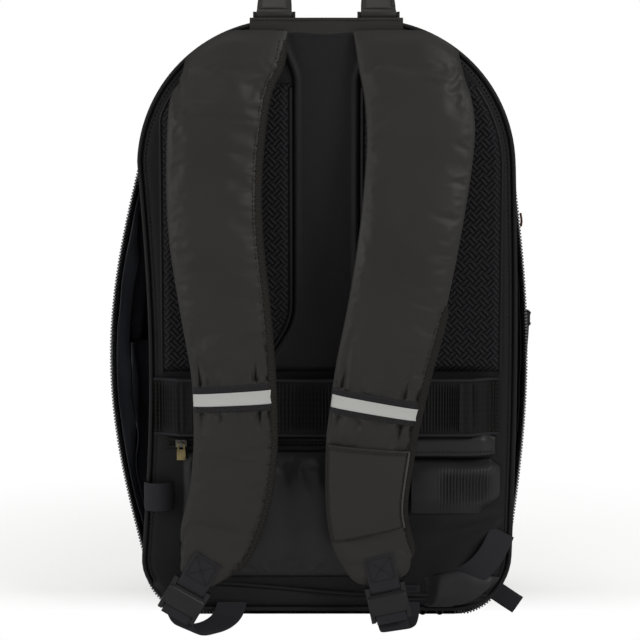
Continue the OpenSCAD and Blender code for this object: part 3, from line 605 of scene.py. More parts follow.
def rounded_copy(node, name, finish, body, slot, radius, segments=2):
    """A CAD node's shape with its edges rounded, as a moulding or casting has them; stands for the node."""
    bm = bmesh.new()
    bm.from_mesh(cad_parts[node].data)
    bmesh.ops.remove_doubles(bm, verts=bm.verts, dist=1e-5)
    bmesh.ops.dissolve_limit(bm, angle_limit=math.radians(4), verts=bm.verts, edges=bm.edges)
    edges = [e for e in bm.edges if len(e.link_faces) == 2 and e.calc_face_angle(0) > math.radians(35)]
    bmesh.ops.bevel(bm, geom=edges, offset=radius * MM, offset_type="OFFSET", segments=segments, profile=0.5,
                    affect="EDGES", material=-1, clamp_overlap=True)
    return finish_piece(name, bm, material(finish), body, slot, [node], sharp=50)


# ---- Cloth simulation ----
def inflate(obj, hold, pressure=4.0, spare=0.0, cap=4.0, frames=20):
    """Fills a piece with Blender's cloth, held where hold(co) is 1, then caps each point's travel in millimetres."""
    others = [m for m in obj.modifiers if m.show_viewport]
    for m in others:
        m.show_viewport = False
    data = obj.data
    rest = [v.co.copy() for v in data.vertices]
    group = obj.vertex_groups.new(name="held")
    for i, co in enumerate(rest):
        group.add([i], min(max(hold(co / MM), 0), 1), "REPLACE")
    cloth = obj.modifiers.new("Cloth", "CLOTH")
    cloth.settings.vertex_group_mass = "held"
    cloth.settings.use_pressure = pressure > 0
    cloth.settings.uniform_pressure_force = pressure
    cloth.settings.effector_weights.gravity = 0
    cloth.settings.quality = 4
    cloth.settings.mass = 0.2
    cloth.settings.tension_stiffness = cloth.settings.compression_stiffness = 25
    cloth.settings.shrink_min = -spare
    cloth.settings.bending_stiffness = 0.4
    cloth.collision_settings.use_collision = False
    cloth.point_cache.frame_end = frames + 1
    scene = bpy.context.scene
    for f in range(1, frames + 1):
        scene.frame_set(f)
    grown = obj.evaluated_get(bpy.context.evaluated_depsgraph_get()).data
    moved = [v.co.copy() for v in grown.vertices]
    if len(moved) != len(rest):
        raise RuntimeError(f"{obj.name}: the simulation changed the number of points")
    obj.modifiers.remove(cloth)
    obj.vertex_groups.remove(group)
    for m in others:
        m.show_viewport = True
    for v, a, b in zip(data.vertices, rest, moved):
        step = b - a
        if step.length > cap * MM:
            step *= cap * MM / step.length
        v.co = a + step
    data.update()
    scene.frame_set(1)
    return obj


# ---- Operators ----
class BackpackStep:
    """What the steps share: each one's build makes its pieces, and an error in it stops the script."""

    bl_options = {"REGISTER", "UNDO"}

    def execute(self, context):
        self.build(context)
        return {"FINISHED"}


class BACKPACK_OT_stage(BackpackStep, bpy.types.Operator):
    """Makes the floor, the lamps and the camera."""

    bl_idname = "backpack.stage"
    bl_label = "Stage"

    def build(self, context):
        scene = context.scene
        scene.view_settings.view_transform = "Standard"
        bm = bmesh.new()
        bmesh.ops.create_grid(bm, x_segments=1, y_segments=1, size=6)
        floor = finish_piece("floor", bm, self.floor_finish(), None, None)
        world = scene.world or bpy.data.worlds.new("Studio")
        scene.world = world
        world.use_nodes = True
        nt = world.node_tree
        back = nt.nodes["Background"]
        seen = self.seen_rays(nt)[1]
        level = add(nt, "ShaderNodeMapRange", {"Value": seen.outputs[0], "To Min": 0.24, "To Max": 1.0})
        back.inputs["Color"].default_value = (1, 1, 1, 1)
        nt.links.new(level.outputs["Result"], back.inputs["Strength"])
        # Key from the right and above, a fill from the left, and a strip that rakes the straps
        for name, place, size, power in (("key", (1.5, -1.35, 1.5), 0.8, 16), ("fill", (-1.8, -1.2, 0.9), 0.9, 11),
                                         ("top", (-0.2, 0.2, 2.1), 1.2, 6)):
            lamp = bpy.data.lights.new(name, "AREA")
            lamp.energy, lamp.size = power, size
            holder = bpy.data.objects.new(name, lamp)
            holder.location = place
            holder.rotation_euler = (Vector((0, -0.05, 0.25)) - Vector(place)).to_track_quat("-Z", "Y").to_euler()
            scene.collection.objects.link(holder)
        aim, lift, reach = Vector((-0.005, -0.103, 0.2495)), math.radians(6.0), 1.42
        camera = bpy.data.cameras.new("camera")
        camera.sensor_width = 36
        camera.lens = 36 * reach / 0.51
        view = bpy.data.objects.new("camera", camera)
        view.location = aim + Vector((0, -math.cos(lift), math.sin(lift))) * reach
        view.rotation_euler = (aim - view.location).to_track_quat("-Z", "Y").to_euler()
        scene.collection.objects.link(view)
        scene.camera = view

    def seen_rays(self, nt):
        """The light path node, and 1 for the rays that show the backdrop, the camera's and those through glass."""
        rays = add(nt, "ShaderNodeLightPath")
        return rays, add(nt, "ShaderNodeMath", {0: rays.outputs["Is Camera Ray"],
                                                1: rays.outputs["Is Transmission Ray"]}, operation="MAXIMUM")

    def floor_finish(self):
        """Matt white paper, seen a little brighter than it is lit: a white backdrop that keeps the shadow.

        The back half opens downwards past the edge that the bag stands at, so in front of its hinge the paper only
        throws light back: it isn't seen there, and it casts no shadow.
        """
        made = bpy.data.materials.new("paper")
        made.use_nodes = True
        nt = made.node_tree
        shader = nt.nodes["Principled BSDF"]
        shader.inputs["Base Color"].default_value = linear("#f2f2f0")
        shader.inputs["Roughness"].default_value = 0.9
        rays, seen = self.seen_rays(nt)
        glow = add(nt, "ShaderNodeMath", {0: seen.outputs[0], 1: 0.5}, operation="MULTIPLY")
        shader.inputs["Emission Color"].default_value = (1, 1, 1, 1)
        nt.links.new(glow.outputs[0], shader.inputs["Emission Strength"])
        # Plain white from half a metre off, where no shadow falls
        where = add(nt, "ShaderNodeTexCoord")
        far = add(nt, "ShaderNodeVectorMath", {0: where.outputs["Object"]}, operation="LENGTH")
        share = add(nt, "ShaderNodeMapRange", {"Value": far.outputs["Value"], "From Min": 0.25, "From Max": 0.6})
        place = add(nt, "ShaderNodeSeparateXYZ", {"Vector": where.outputs["Object"]})
        edge = (RIM_Y + 5) * MM
        near = add(nt, "ShaderNodeMapRange", {"Value": place.outputs["Y"], "From Min": edge + 0.07, "From Max": edge})
        most = add(nt, "ShaderNodeMath", {0: share.outputs["Result"], 1: near.outputs["Result"]}, operation="MAXIMUM")
        fade = add(nt, "ShaderNodeMath", {0: most.outputs[0], 1: seen.outputs[0]}, operation="MULTIPLY")
        white = add(nt, "ShaderNodeEmission", {"Color": (1, 1, 1, 1), "Strength": 1.0})
        both = add(nt, "ShaderNodeMixShader", {0: fade.outputs[0], 1: shader.outputs[0], 2: white.outputs[0]})
        front = add(nt, "ShaderNodeMath", {0: place.outputs["Y"], 1: edge}, operation="LESS_THAN")
        passing = add(nt, "ShaderNodeMath", {0: seen.outputs[0], 1: rays.outputs["Is Shadow Ray"]},
                      operation="MAXIMUM")
        gone = add(nt, "ShaderNodeMath", {0: front.outputs[0], 1: passing.outputs[0]}, operation="MULTIPLY")
        clear = add(nt, "ShaderNodeBsdfTransparent", {})
        whole = add(nt, "ShaderNodeMixShader", {0: gone.outputs[0], 1: both.outputs[0], 2: clear.outputs[0]})
        nt.links.new(whole.outputs[0], nt.nodes["Material Output"].inputs["Surface"])
        return made


def ring_grid(rows, i0, i1, outline, y_at, nv, slack=None):
    """A strip of the bag's wall between outline points i0 and i1; i may pass 0."""
    n = i1 - i0
    lines = [outline(k / nv) for k in range(nv + 1)]
    span = len(lines[0]) - 1

    def place(u, v):
        k = round(v * nv)
        x, z = lines[k][(i0 + round(u * n)) % span]
        return x, y_at(v), z
    bm = cloth_grid(n, nv, place, size=rows)
    centre = Vector((0, 0, 0.22))
    face_out(bm, lambda c: Vector((c.x, 0, c.z - centre.z)))
    if slack:
        push(bm, slack)
    return bm


def shell_y(v):
    return lerp(RIM_Y, FRONT_Y, v)


def wall_slack(seed, amount=1.0):
    """Folds of a wall, dying away at its seams along the zip and the front panel."""
    depth = sizes().wrinkle / MM * amount

    def move(co):
        v = (co.y - RIM_Y) / SHELL_D
        hold = smooth(0, 0.12, v) * smooth(1, 0.88, v)
        low = smooth(0, 60, co.z)
        wide = folds(co.x, co.y * 0.6, co.z * 1.7, 70, seed)
        tight = folds(co.x * 0.5, co.y, co.z * 2.2, 30, seed + 9)
        return depth * hold * (1.3 * wide * low + 0.45 * tight + 0.5)
    return move


class BACKPACK_OT_shell(BackpackStep, bpy.types.Operator):
    """Makes the main shell's walls, base and front panel, with piping along their seams."""

    bl_idname = "backpack.shell"
    bl_label = "Main Shell"

    def build(self, context):
        cloth = material("bag_cloth")
        walls = {
            "base_wall": (I_LAST - I_SIDE, I_LAST + I_SIDE, "base_panel", 0.25),
            "side_wall_right": (I_SIDE, I_SHOULDER, "side_panel_right", 1.0),
            "top_wall": (I_SHOULDER, I_LAST - I_SHOULDER, "top_panel", 0.5),
            "side_wall_left": (I_LAST - I_SHOULDER, I_LAST - I_SIDE, "side_panel_left", 1.3),
        }
        for k, (name, (i0, i1, node, amount)) in enumerate(walls.items()):
            bm = ring_grid((400, SHELL_D), i0, i1, shell_outline, shell_y, 22, wall_slack(3.1 * k, amount))
            finish_piece(name, bm, cloth, "shell", "bag_fabric", [node], thick=WALL - 0.2, subdivide=1)
        rings = [(0.0, FRONT_Y + 0.2), (-0.2, FRONT_Y + 1.4), (0.2, FRONT_Y + 2.6), (1.4, FRONT_Y + 3.2)]
        rings += [(i, FRONT_Y + 3.2 + 3.2 * smooth(0, 70, i)) for i in (4, 9, 16, 26, 38, 52, 68, 84, 98, 108)]
        front = disc_rows(lambda i: self.inner(i), rings + [(None, FRONT_Y + 6.4)])
        face_out(front, (0, 1, 0))
        push(front, lambda co: 1.2 * folds(co.x, co.y, co.z, 60, 5) * smooth(485, 440, co.z) * smooth(0, 60, co.z)
             * smooth(66, 69, co.y))
        finish_piece("front_wall", front, cloth, "shell", "bag_fabric", ["front_panel"], thick=2.4, subdivide=1)
        for name, v, y, inset in (("front_piping", 1, FRONT_Y + 0.6, -0.6),
                                  ("rear_piping", 0.06, shell_y(0.06), 0.7)):
            line = [(x, y, max(z, 1.6)) for x, z in shell_outline(v, inset)]
            finish_piece(name, tube(line, 1.5, 8), material("webbing"), "shell", "webbing")
        seam = [(x, shell_y(0.965), z) for x, z in shell_outline(0.965, -0.8)]
        stitches("front_seam_stitches", [seam[I_SIDE:I_LAST - I_SIDE]], "shell", up=(0, 0, 1))
        for name, i in (("right_top", I_SHOULDER), ("left_top", I_LAST - I_SHOULDER),
                        ("right_foot", I_SIDE), ("left_foot", I_LAST - I_SIDE)):
            line = []
            for k in range(23):
                x, z = shell_outline(k / 22, -0.9)[i]
                line.append((x, shell_y(k / 22), z))
            finish_piece(f"wall_seam_{name}", tube(line[1:-1], 1.3, 8), cloth, "shell", "bag_fabric")
        hinge = [(lerp(-71, 71, k / 40), RIM_Y - 3.2 + 0.25 * folds(k * 9, 0, 0, 25), 3.4) for k in range(41)]
        finish_piece("hinge_roll", tube(hinge, 2.9, 16), cloth, "shell", "bag_fabric", ["hinge_piping"])
        dress("base_board", "stiffener")

    def inner(self, inset):
        if inset is None:
            return None
        if inset <= 40:
            return shell_outline(1, inset)
        # Further in, the outline shrinks evenly towards the middle
        edge = shell_outline(1, 40)
        cz = (BAG_H - TOP_DROP) / 2
        k = (110 - inset) / 70
        return [(x * k, cz + (z - cz) * k) for x, z in edge]


class BACKPACK_OT_lining(BackpackStep, bpy.types.Operator):
    """Makes the glossy lining, its slip pocket and the padded divider."""

    bl_idname = "backpack.lining"
    bl_label = "Lining and Divider"

    def build(self, context):
        inset = WALL + 0.3
        bm = ring_grid((1300, SHELL_D), 0, I_LAST, lambda v: shell_outline(v, inset), shell_y, 26,
                       lambda co: min(0.0, wall_slack(9.3 if co.x < 0 else 3.1, 1.0)(co)) - 0.5
                       - 1.4 * max(0, folds(co.x * 0.3, co.y, co.z * 1.2, 26, 4)) * smooth(0, 40, co.z)
                       - (self.billow(co.z, (co.y - RIM_Y) / SHELL_D) if co.x < 0 else 0))
        bmesh.ops.remove_doubles(bm, verts=bm.verts, dist=1e-6)
        finish_piece("lining", bm, material("taffeta"), "shell", "lining", ["shell_lining"], thick=0.6, subdivide=1)

        def slip(u, v):
            w, z = lerp(0.06, 0.74, u), lerp(80, 225, v)
            line = shell_outline(w, WALL + 1.6)
            x = edge_x(line, z, -1)
            sag = 6 * smooth(0.5, 1, v) * math.sin(math.pi * u) + 1.6 * (1 + folds(u * 90, v * 60, 0, 18, 2)) * v
            return x + 0.6 + self.billow(z, w) + sag * smooth(0, 0.08, u) * smooth(1, 0.92, u), shell_y(w), z
        bm = cloth_grid(40, 60, slip, size=(90, 145))
        slip_piece = finish_piece("slip_pocket", bm, material("taffeta"), "shell", "lining", ["lining_pocket_left"],
                                  thick=0.7)
        hem = [slip(k / 40, 1) for k in range(41)]
        hem = finish_piece("slip_pocket_hem", tube(hem, 1.3, 8), material("webbing"), "shell", "webbing")
        y = FRONT_Y - 30
        outline = rounded_box(236, 5.8, 355.8, 34)
        rings = [(3, y - 1.4), (0.8, y - 1.2), (0.2, y), (0.8, y + 1.2), (3, y + 1.6), (8, y + 2.0), (24, y + 2.4),
                 (60, y + 2.6), (None, y + 2.6)]
        rings = [(None, y - 2.2), (60, y - 2.2), (24, y - 2.1), (8, y - 1.9)] + rings
        bm = disc_rows_closed(outline, rings)
        finish_piece("divider", bm, material("taffeta"), "shell", "lining", ["racket_divider"])

    def billow(self, z, w):
        """How far the slack lining stands in from the left wall, in long upright folds behind the zip."""
        near = smooth(0.0, 0.07, w) * smooth(0.62, 0.25, w) * smooth(40, 110, z) * smooth(430, 330, z)
        ridge = 0.5 + 0.5 * math.sin(w * 34 + 1.6 * math.sin(z / 47) + 0.9 * math.sin(z / 19 + 2))
        return near * (2.5 + 6.0 * ridge ** 1.6 + 1.6 * folds(0, w * 120, z, 34, 5))


def rounded_box(width, z0, z1, r, n=10):
    """Outline of an upright rectangle with round corners, as a function of its inset."""
    def outline(inset):
        if inset is None:
            return None
        w, a, b, q = width / 2 - inset, z0 + inset, z1 - inset, max(r - inset, 1.5)
        corners = ((w - q, a + q, -90), (w - q, b - q, 0), (-w + q, b - q, 90), (-w + q, a + q, 180))
        points = []
        for j, (x, z, start) in enumerate(corners):
            turns = [math.radians(start + 90 * i / n) for i in range(n + 1)]
            arc = [(x + q * math.cos(a), z + q * math.sin(a)) for a in turns]
            nx, nz, s2 = corners[(j + 1) % 4]
            after = (nx + q * math.cos(math.radians(s2)), nz + q * math.sin(math.radians(s2)))
            points += arc + [(lerp(arc[-1][0], after[0], i / n), lerp(arc[-1][1], after[1], i / n))
                             for i in range(1, n)]
        return points + [points[0]]
    return outline


def disc_rows_closed(outline, rings, nu=None):
    bm = disc_rows(outline, rings, nu)
    bmesh.ops.recalc_face_normals(bm, faces=bm.faces)
    return bm


class BACKPACK_OT_back_half(BackpackStep, bpy.types.Operator):
    """Makes the back half: its wall, the back panel, the laptop sleeve, the foot and the piping."""

    bl_idname = "backpack.back_half"
    bl_label = "Back Half"

    def build(self, context):
        cloth = material("bag_cloth")

        def y_at(v):
            return lerp(BACK_Y + 1.5, DOOR_Y, v)

        def slack(co):
            v = (co.y - BACK_Y) / DOOR_D
            return 1.1 * smooth(0, 0.3, v) * smooth(1, 0.7, v) * (folds(co.x, co.y, co.z, 38, 7) + 0.4)
        bm = ring_grid((1300, DOOR_D), 0, I_LAST, lambda v: back_outline(0), y_at, 8, slack)
        bmesh.ops.remove_doubles(bm, verts=bm.verts, dist=1e-6)
        finish_piece("back_half_wall", bm, cloth, "back_half", "bag_fabric", ["door_gusset"], thick=WALL - 0.3,
                     subdivide=1)
        edge = back_outline(1.2)

        def depth(x, z, u, v):
            rim = min(x - edge_x(edge, z, -1), edge_x(edge, z, 1) - x, (BAG_H - 1.2 - z) * 1.2, z - DOOR_LIFT - 1)
            foot = 3.6 * smooth(0, 10, z - DOOR_LIFT) * smooth(self.foot_line(x) + 1, self.foot_line(x) - 6, z)
            sag = 0.5 * max(0.0, folds(x, 0, z, 46, 3)) * smooth(2, 22, rim)
            # Creases fan out from the upper end of the curved webbing, over the slack corner
            fan = math.atan2(96 - z, 152 - x)
            sag += 1.5 * (1 + math.sin(11 * fan + 0.6 * math.sin(z / 9))) * smooth(70, 96, x) * smooth(100, 84, z) \
                * smooth(3, 14, rim)
            return BACK_Y + 1.4 * smooth(7, 0, rim) - foot - sag
        z0, z1 = DOOR_LIFT + 1.4, BAG_H - 1.3
        bm = panel_rows(130, 210, (z0, z1), lambda z: edge_x(edge, z, -1), lambda z: edge_x(edge, z, 1), depth)
        face_out(bm, (0, -1, 0))
        finish_piece("back_panel_cloth", bm, cloth, "back_half", "bag_fabric", ["back_panel"], thick=2.4)
        rim = [(x, BACK_Y + 1.0, z) for x, z in back_outline(0.2)]
        finish_piece("back_half_piping", tube(rim, 1.9, 10), material("bag_cloth"), "back_half", "webbing")
        seam = [(x, BACK_Y - 0.3, z) for x, z in back_outline(4.2)[I_CORNER:I_LAST - I_CORNER]]
        stitches("back_rim_stitches", [seam], "back_half")
        crease = [(x, BACK_Y - 2.2, self.foot_line(x) - 1) for x in range(-122, 131, 6)]
        finish_piece("foot_seam", tube(crease, 1.7, 10), material("bag_cloth"), "back_half", "webbing")
        self.sleeve()
        self.foot(cloth)
        dress("back_board", "stiffener")

    def foot_line(self, x):
        """Height of the seam across the foot of the back panel."""
        return lerp(37.5, 27, smooth(-110, 60, x))

    def foot(self, cloth):
        """The strip of cloth that hangs from the back half's lower edge to the hinge."""
        near = RIM_Y - 6.6 - 2.6

        def place(u, v):
            x = lerp(-70, 70, u)
            return x, near + 0.4 * folds(x, 0, v * 12, 16, 6), lerp(3.6, DOOR_LIFT - 0.3, v)
        bm = cloth_grid(60, 6, place, size=(140, 11))
        face_out(bm, (0, -1, 0))
        finish_piece("hinge_welt", bm, cloth, "back_half", "bag_fabric", ["door_welt"], thick=2.2, subdivide=1)

        def web(u, v):
            y = RIM_Y - 3.2 - 2.8 * smooth(0, 0.5, v) - 2.6 * smooth(0.7, 1, v)
            return lerp(-71, 71, u), y, lerp(6.0, DOOR_LIFT + 0.8, v)
        bm = cloth_grid(60, 12, web, size=(142, 12))
        face_out(bm, (0, 1, 0))
        hinge = finish_piece("hinge_cloth", bm, cloth, None, "bag_fabric", thick=0.8)
        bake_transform(hinge)

    def sleeve(self):
        """Padded laptop sleeve with a bound mouth, quilted by two rows of stitches."""
        y = BACK_Y + 3 + 2
        half, low, high, reach = BAG_W / 2 - WAIST - 16, DOOR_LIFT + 27, DOOR_LIFT + 27 + 270, 17 + 3

        def place(u, v):
            x, z = lerp(-half, half, u), lerp(low, high, v)
            side = min(x + half, half - x, z - low)
            round_edge = smooth(0, 9, side)
            quilt = 0.8 * abs(math.sin(math.pi * (z - low) / 90)) ** 0.5
            return x, y + 0.8 + (reach - 2.2) * round_edge ** 0.5 + quilt * round_edge, z
        bm = cloth_grid(90, 90, place, size=(2 * half, high - low))
        face_out(bm, (0, 1, 0))
        sleeve = finish_piece("laptop_sleeve_cloth", bm, material("taffeta"), "back_half", "lining",
                              ["laptop_sleeve"], thick=2.4)
        mouth = [place(k / 60, 1) for k in range(61)]
        finish_piece("laptop_sleeve_binding", tube([(p[0], p[1] - 1.2, p[2]) for p in mouth], 2.0, 8),
                     material("binding"), "back_half", "webbing")


class BACKPACK_OT_mesh_pads(BackpackStep, bpy.types.Operator):
    """Makes the two spacer mesh pads with their basket weave, and the smooth channel between them."""

    bl_idname = "backpack.mesh_pads"
    bl_label = "Mesh Pads and Spine Channel"

    LOW, HIGH = 208.4, 436.8

    def build(self, context):
        for name, side in (("mesh_pad_left", -1), ("mesh_pad_right", 1)):
            self.pad(name, side)
        self.channel()

    def inner_x(self, z):
        """Edge of a pad beside the channel: straight, then curving out at the foot."""
        k = smooth(268, 208, z)
        return 28.4 + 23.0 * k ** 1.6

    def outer_x(self, z, side):
        line = self.rim_line
        x = min(abs(edge_x(line, z, side)), 139 if side > 0 else 131)
        return x - 0.4

    def relief(self, x, z):
        """Basket weave: ribs in pairs, each block turned across its neighbours."""
        cell = sizes().mesh_cell / MM
        a, b = (x + z) / (cell * math.sqrt(2)), (z - x) / (cell * math.sqrt(2))
        turned = (math.floor(a / 2) + math.floor(b / 2)) % 2 == 0
        along = a if turned else b
        across = b if turned else a
        rib = abs(math.sin(math.pi * along))
        end = min(1, 2.4 * abs(math.sin(math.pi * across / 2)))
        return rib ** 0.6 * end

    def pad(self, name, side):
        self.rim_line = back_outline(9)
        z0, z1 = self.LOW, self.HIGH

        def depth(x, z, u, v):
            away = min(abs(x) - self.inner_x(z), self.outer_x(z, side) - abs(x), z - z0, z1 - z)
            edge = smooth(-0.5, 6, away)
            crown = 1.1 * smooth(0, 34, away)
            return (BACK_Y - 6.0 * edge ** 0.55 - crown - 0.8 * self.relief(abs(x), z) * smooth(2, 6, away)
                    - 0.4 * folds(x, 0, z, 30, 8) * edge)
        left, right = (lambda z: self.inner_x(z), lambda z: self.outer_x(z, 1)) if side > 0 else (
            lambda z: -self.outer_x(z, -1), lambda z: -self.inner_x(z))
        bm = panel_rows(112, 250, (z0, z1), left, right, depth)
        face_out(bm, (0, -1, 0))
        pad = finish_piece(name + "_cloth", bm, material("spacer_mesh"), "back_half", "mesh", [name], thick=0.8,
                           sharp=180)
        outer = [(side * self.outer_x(z, side), BACK_Y - 1.6, z) for z in range(int(z0), int(z1), 5)]
        inner = [(side * self.inner_x(z), BACK_Y - 2.4, z) for z in range(int(z0), int(z1), 5)]
        for part, line in (("outer", outer), ("inner", inner)):
            finish_piece(f"{name}_{part}_piping", tube(line, 1.7, 8), material("bag_cloth"), "back_half", "webbing")

    def channel(self):
        z0, z1 = self.LOW, 478.0

        def half(z):
            return self.inner_x(z) - 1.6 if z < self.HIGH else 26.8 + 14 * smooth(self.HIGH, z1, z)

        def depth(x, z, u, v):
            w = abs(x) / half(z)
            border = smooth(0.72, 0.9, w) * smooth(1.0, 0.93, w)
            foot = smooth(z0 + 34, z0 + 10, z) * smooth(z0, z0 + 5, z)
            rim = smooth(0, 5, min(half(z) - abs(x), z - z0 + 1, z1 + 1 - z))
            return BACK_Y - 0.6 - 1.6 * rim - 1.7 * max(border, 0.6 * foot) - 0.35 * folds(x, 0, z, 40, 2)
        bm = panel_rows(56, 150, (z0, z1), lambda z: -half(z), half, depth)
        face_out(bm, (0, -1, 0))
        finish_piece("spine_channel_cloth", bm, material("bag_cloth"), "back_half", "bag_fabric", ["spine_channel"],
                     thick=0.9)


class BACKPACK_OT_luggage_band(BackpackStep, bpy.types.Operator):
    """Makes the ribbed elastic band that slips over a trolley case's handle."""

    bl_idname = "backpack.luggage_band"
    bl_label = "Luggage Band"

    def build(self, context):
        reach, low, high, far = BAG_W / 2 - WAIST - 4, 157, 204, BACK_Y - 11
        near, mid = BACK_Y - 1.6, (low + high) / 2
        xs = [(-reach, near), (-reach + 8, near), (-reach + 20, lerp(near, far, 0.75)), (-reach + 32, far),
              (0, far - 1), (reach - 32, far), (reach - 20, lerp(near, far, 0.75)), (reach - 8, near), (reach, near)]
        keys = [[(x, y, mid), (0, 0, (high - low) / 2)] for x, y in xs]
        pitch = sizes().rib_pitch / MM

        def shape(u, v):
            a = 2 * math.pi * u
            c, s = math.cos(a), math.sin(a)
            x = signed(c, 0.3)
            at = v * 2 * reach
            plain = smooth(0.80, 0.86, abs(x))
            rib = 0.5 * math.cos(2 * math.pi * at / pitch) * (1 - plain)
            sag = 0.6 * folds(at, x * 12, 0, 24, 5)
            width = x * (1 - 0.012 * (1 + math.cos(at / 9)))
            return width, signed(s, 0.5) * (0.8 + rib) + sag
        rows = curve_points(keys, 420)
        bm = sweep_rows(rows, section(28, shape))
        finish_piece("luggage_band_elastic", bm, material("elastic"), "back_half", "webbing", ["luggage_band"],
                     sharp=60)
        for name, side in (("left", -1), ("right", 1)):
            end = [(side * (reach - 1.5), near - 1.2, low + 3 + k * 2.05) for k in range(21)]
            stitches(f"luggage_band_stitches_{name}", [end, [(x - side * 3, y, z) for x, y, z in end]], "back_half")
        for edge, name in ((low, "lower"), (high, "upper")):
            line = [(r[0].x, r[0].y - 1.0, edge + (1.6 if edge == low else -1.6)) for r in rows[::6]]
            finish_piece(f"luggage_band_{name}_hem", tube(line, 1.15, 8), material("webbing"), "back_half", "webbing")


class BACKPACK_OT_lower_back(BackpackStep, bpy.types.Operator):
    """Makes the lower back: the padded panel over the hidden pocket, its zip, the ribbed panel and its rolled flap."""

    bl_idname = "backpack.lower_back"
    bl_label = "Lower Back"

    def build(self, context):
        low, high, left, right = 41.0, 144.0, -115.5, 65.0

        def left_x(z):
            return left + 12 * smooth(low + 20, low, z)

        def depth(x, z, u, v):
            rim = min(x - left_x(z), right - x, z - low + 0.5, high + 0.5 - z)
            edge = smooth(-0.5, 7, rim)
            # Two soft upright folds where the cloth is slack between the straps
            sag = 2.6 * math.exp(-((x + 27 + 0.25 * (z - 90)) / 11) ** 2) + 1.8 * math.exp(-((x - 8) / 9) ** 2)
            crown = 3.6 * smooth(0, 42, rim)
            return (BACK_Y - 0.8 - 3.4 * edge ** 0.6 - crown + sag * edge * smooth(low, low + 50, z)
                    - 0.7 * folds(x, 0, z, 26, 1) * edge)
        bm = panel_rows(88, 52, (low, high), left_x, lambda z: right, depth)
        face_out(bm, (0, -1, 0))
        pad = finish_piece("lower_back_cloth", bm, material("panel_cloth"), "back_half", "bag_fabric",
                           ["lower_back_pad"], thick=0.8)
        inflate(pad, lambda co: 1 - smooth(2, 9, min(co.x - left_x(co.z), right - co.x, co.z - low, high - co.z)),
                pressure=2.5, spare=0.03, cap=1.6, frames=14)
        x0, x1, z0, z1 = 68.0, 140.0, 92.6, 138.0

        def ribbed_x(z):
            return x1 - 17 * smooth(z0 + 20, z0, z) ** 1.6 - 8 * smooth(z1 - 9, z1, z) ** 1.6

        def ribbed(x, z, u, v):
            """A soft roll along the top that fades into the ribs towards the lower right."""
            rim = smooth(-1.5, 13, min(x - x0 + 14, ribbed_x(z) - x, (z - z0) * 0.8, (z1 - z) * 1.3))
            ribs = 0.6 * math.cos(2 * math.pi * x / 2.6) * smooth(84, 98, x) * smooth(134, 122, z)
            roll = 4.6 * math.exp(-((z - 129 - 0.04 * (x - 104)) / 9) ** 2) * smooth(x0 - 6, x0 + 30, x)
            belly = 3.2 * math.exp(-((x - 92) / 18) ** 2 - ((z - 108) / 14) ** 2)
            return BACK_Y - 0.6 - (5.5 + roll + belly) * rim ** 0.62 + ribs * rim - 1.6 * folds(x, 0, z, 22, 5) * rim
        bm = panel_rows(150, 60, (z0, z1), lambda z: x0, ribbed_x, ribbed)
        face_out(bm, (0, -1, 0))
        finish_piece("ribbed_panel_cloth", bm, material("panel_cloth"), "back_half", "webbing",
                     ["ribbed_panel_right"], thick=0.8)

        def flap(u, v):
            x, z = lerp(56, 136, u), lerp(141.5, 161.5, v)
            # A hood: its lower edge stands free, so that the pull passes under it
            hang = smooth(1.1, 0.55, v) * smooth(-0.14, 0.1, u) * smooth(1.02, 0.84, u)
            y = BACK_Y - 1.2 - 8.0 * hang ** 0.7 - 0.8 * folds(x, 0, z, 24, 4) * hang
            return x, y, z - 1.2 * (1 - v) * folds(x, 0, 0, 30, 6) - 6 * v * smooth(0.8, 1, u) ** 2
        bm = cloth_grid(60, 20, flap, size=(82, 22))
        face_out(bm, (0, -1, 0))
        finish_piece("zip_flap", bm, material("panel_cloth"), "back_half", "bag_fabric", thick=0.8)
        stitches("zip_flap_stitches", [[Vector(flap(k / 40, 0.14)) + Vector((0, -0.9, 0)) for k in range(1, 40)]],
                 "back_half")
        for z, name in ((153.4, "upper"), (147.4, "lower")):
            line = [((-BAG_W / 2 + WAIST + 14), BACK_Y - 1.4, z), ((BAG_W / 2 - WAIST - 14), BACK_Y - 1.4, z)]
            bm = ribbon([[line[0], (0, 0, 1.5)], [line[1], (0, 0, 1.5)]], 0.6, 40, 10)
            finish_piece(f"back_zip_tape_{name}", bm, material("zip_tape"), "back_half", "zip",
                         ["back_pocket_zip"] if name == "upper" else [])
        self.foot_bulge()
        teeth("back_zip_teeth", [(-127, BACK_Y - 1.3, 150.5), (127, BACK_Y - 1.3, 150.5)], Vector((0, -1, 0)),
              "back_half", (1.5, 3.0, 0.9), "zip_tape")

    def foot_bulge(self):
        """Slack cloth that bellies out over the lower right corner, where the curved webbing goes under it."""
        edge = back_outline(3.5)
        low = DOOR_LIFT + 2.5

        def top(x):
            return 40 + 7 * math.sin(math.pi * (x - 79) / 62)

        def place(u, v):
            z_in = lerp(low, top(lerp(79, 138, u)), v)
            x = lerp(79, edge_x(edge, z_in, 1), u)
            z = lerp(low, top(x), v)
            rise = math.sin(math.pi * min(0.04 + 0.94 * v, 1)) ** 0.55 * smooth(0, 0.22, u) * smooth(1, 0.86, u)
            return x, BACK_Y - 0.7 - 8.2 * rise - 1.2 * folds(x, 0, z, 20, 7) * rise, z
        bm = cloth_grid(60, 26, place, size=(60, 30))
        face_out(bm, (0, -1, 0))
        finish_piece("foot_bulge_cloth", bm, material("panel_cloth"), "back_half", "bag_fabric", thick=0.8)


def teeth(name, line, up, body, size, finish="nylon_coil"):
    """A row of coil teeth along a line; up is the way that they stand, a vector or one for each place."""
    bm = bmesh.new()
    for place, along in evenly(line, sizes().tooth_pitch / MM):
        bead(bm, place, along, up(place) if callable(up) else up, size)
    return finish_piece(name, bm, material(finish), body, "zip")


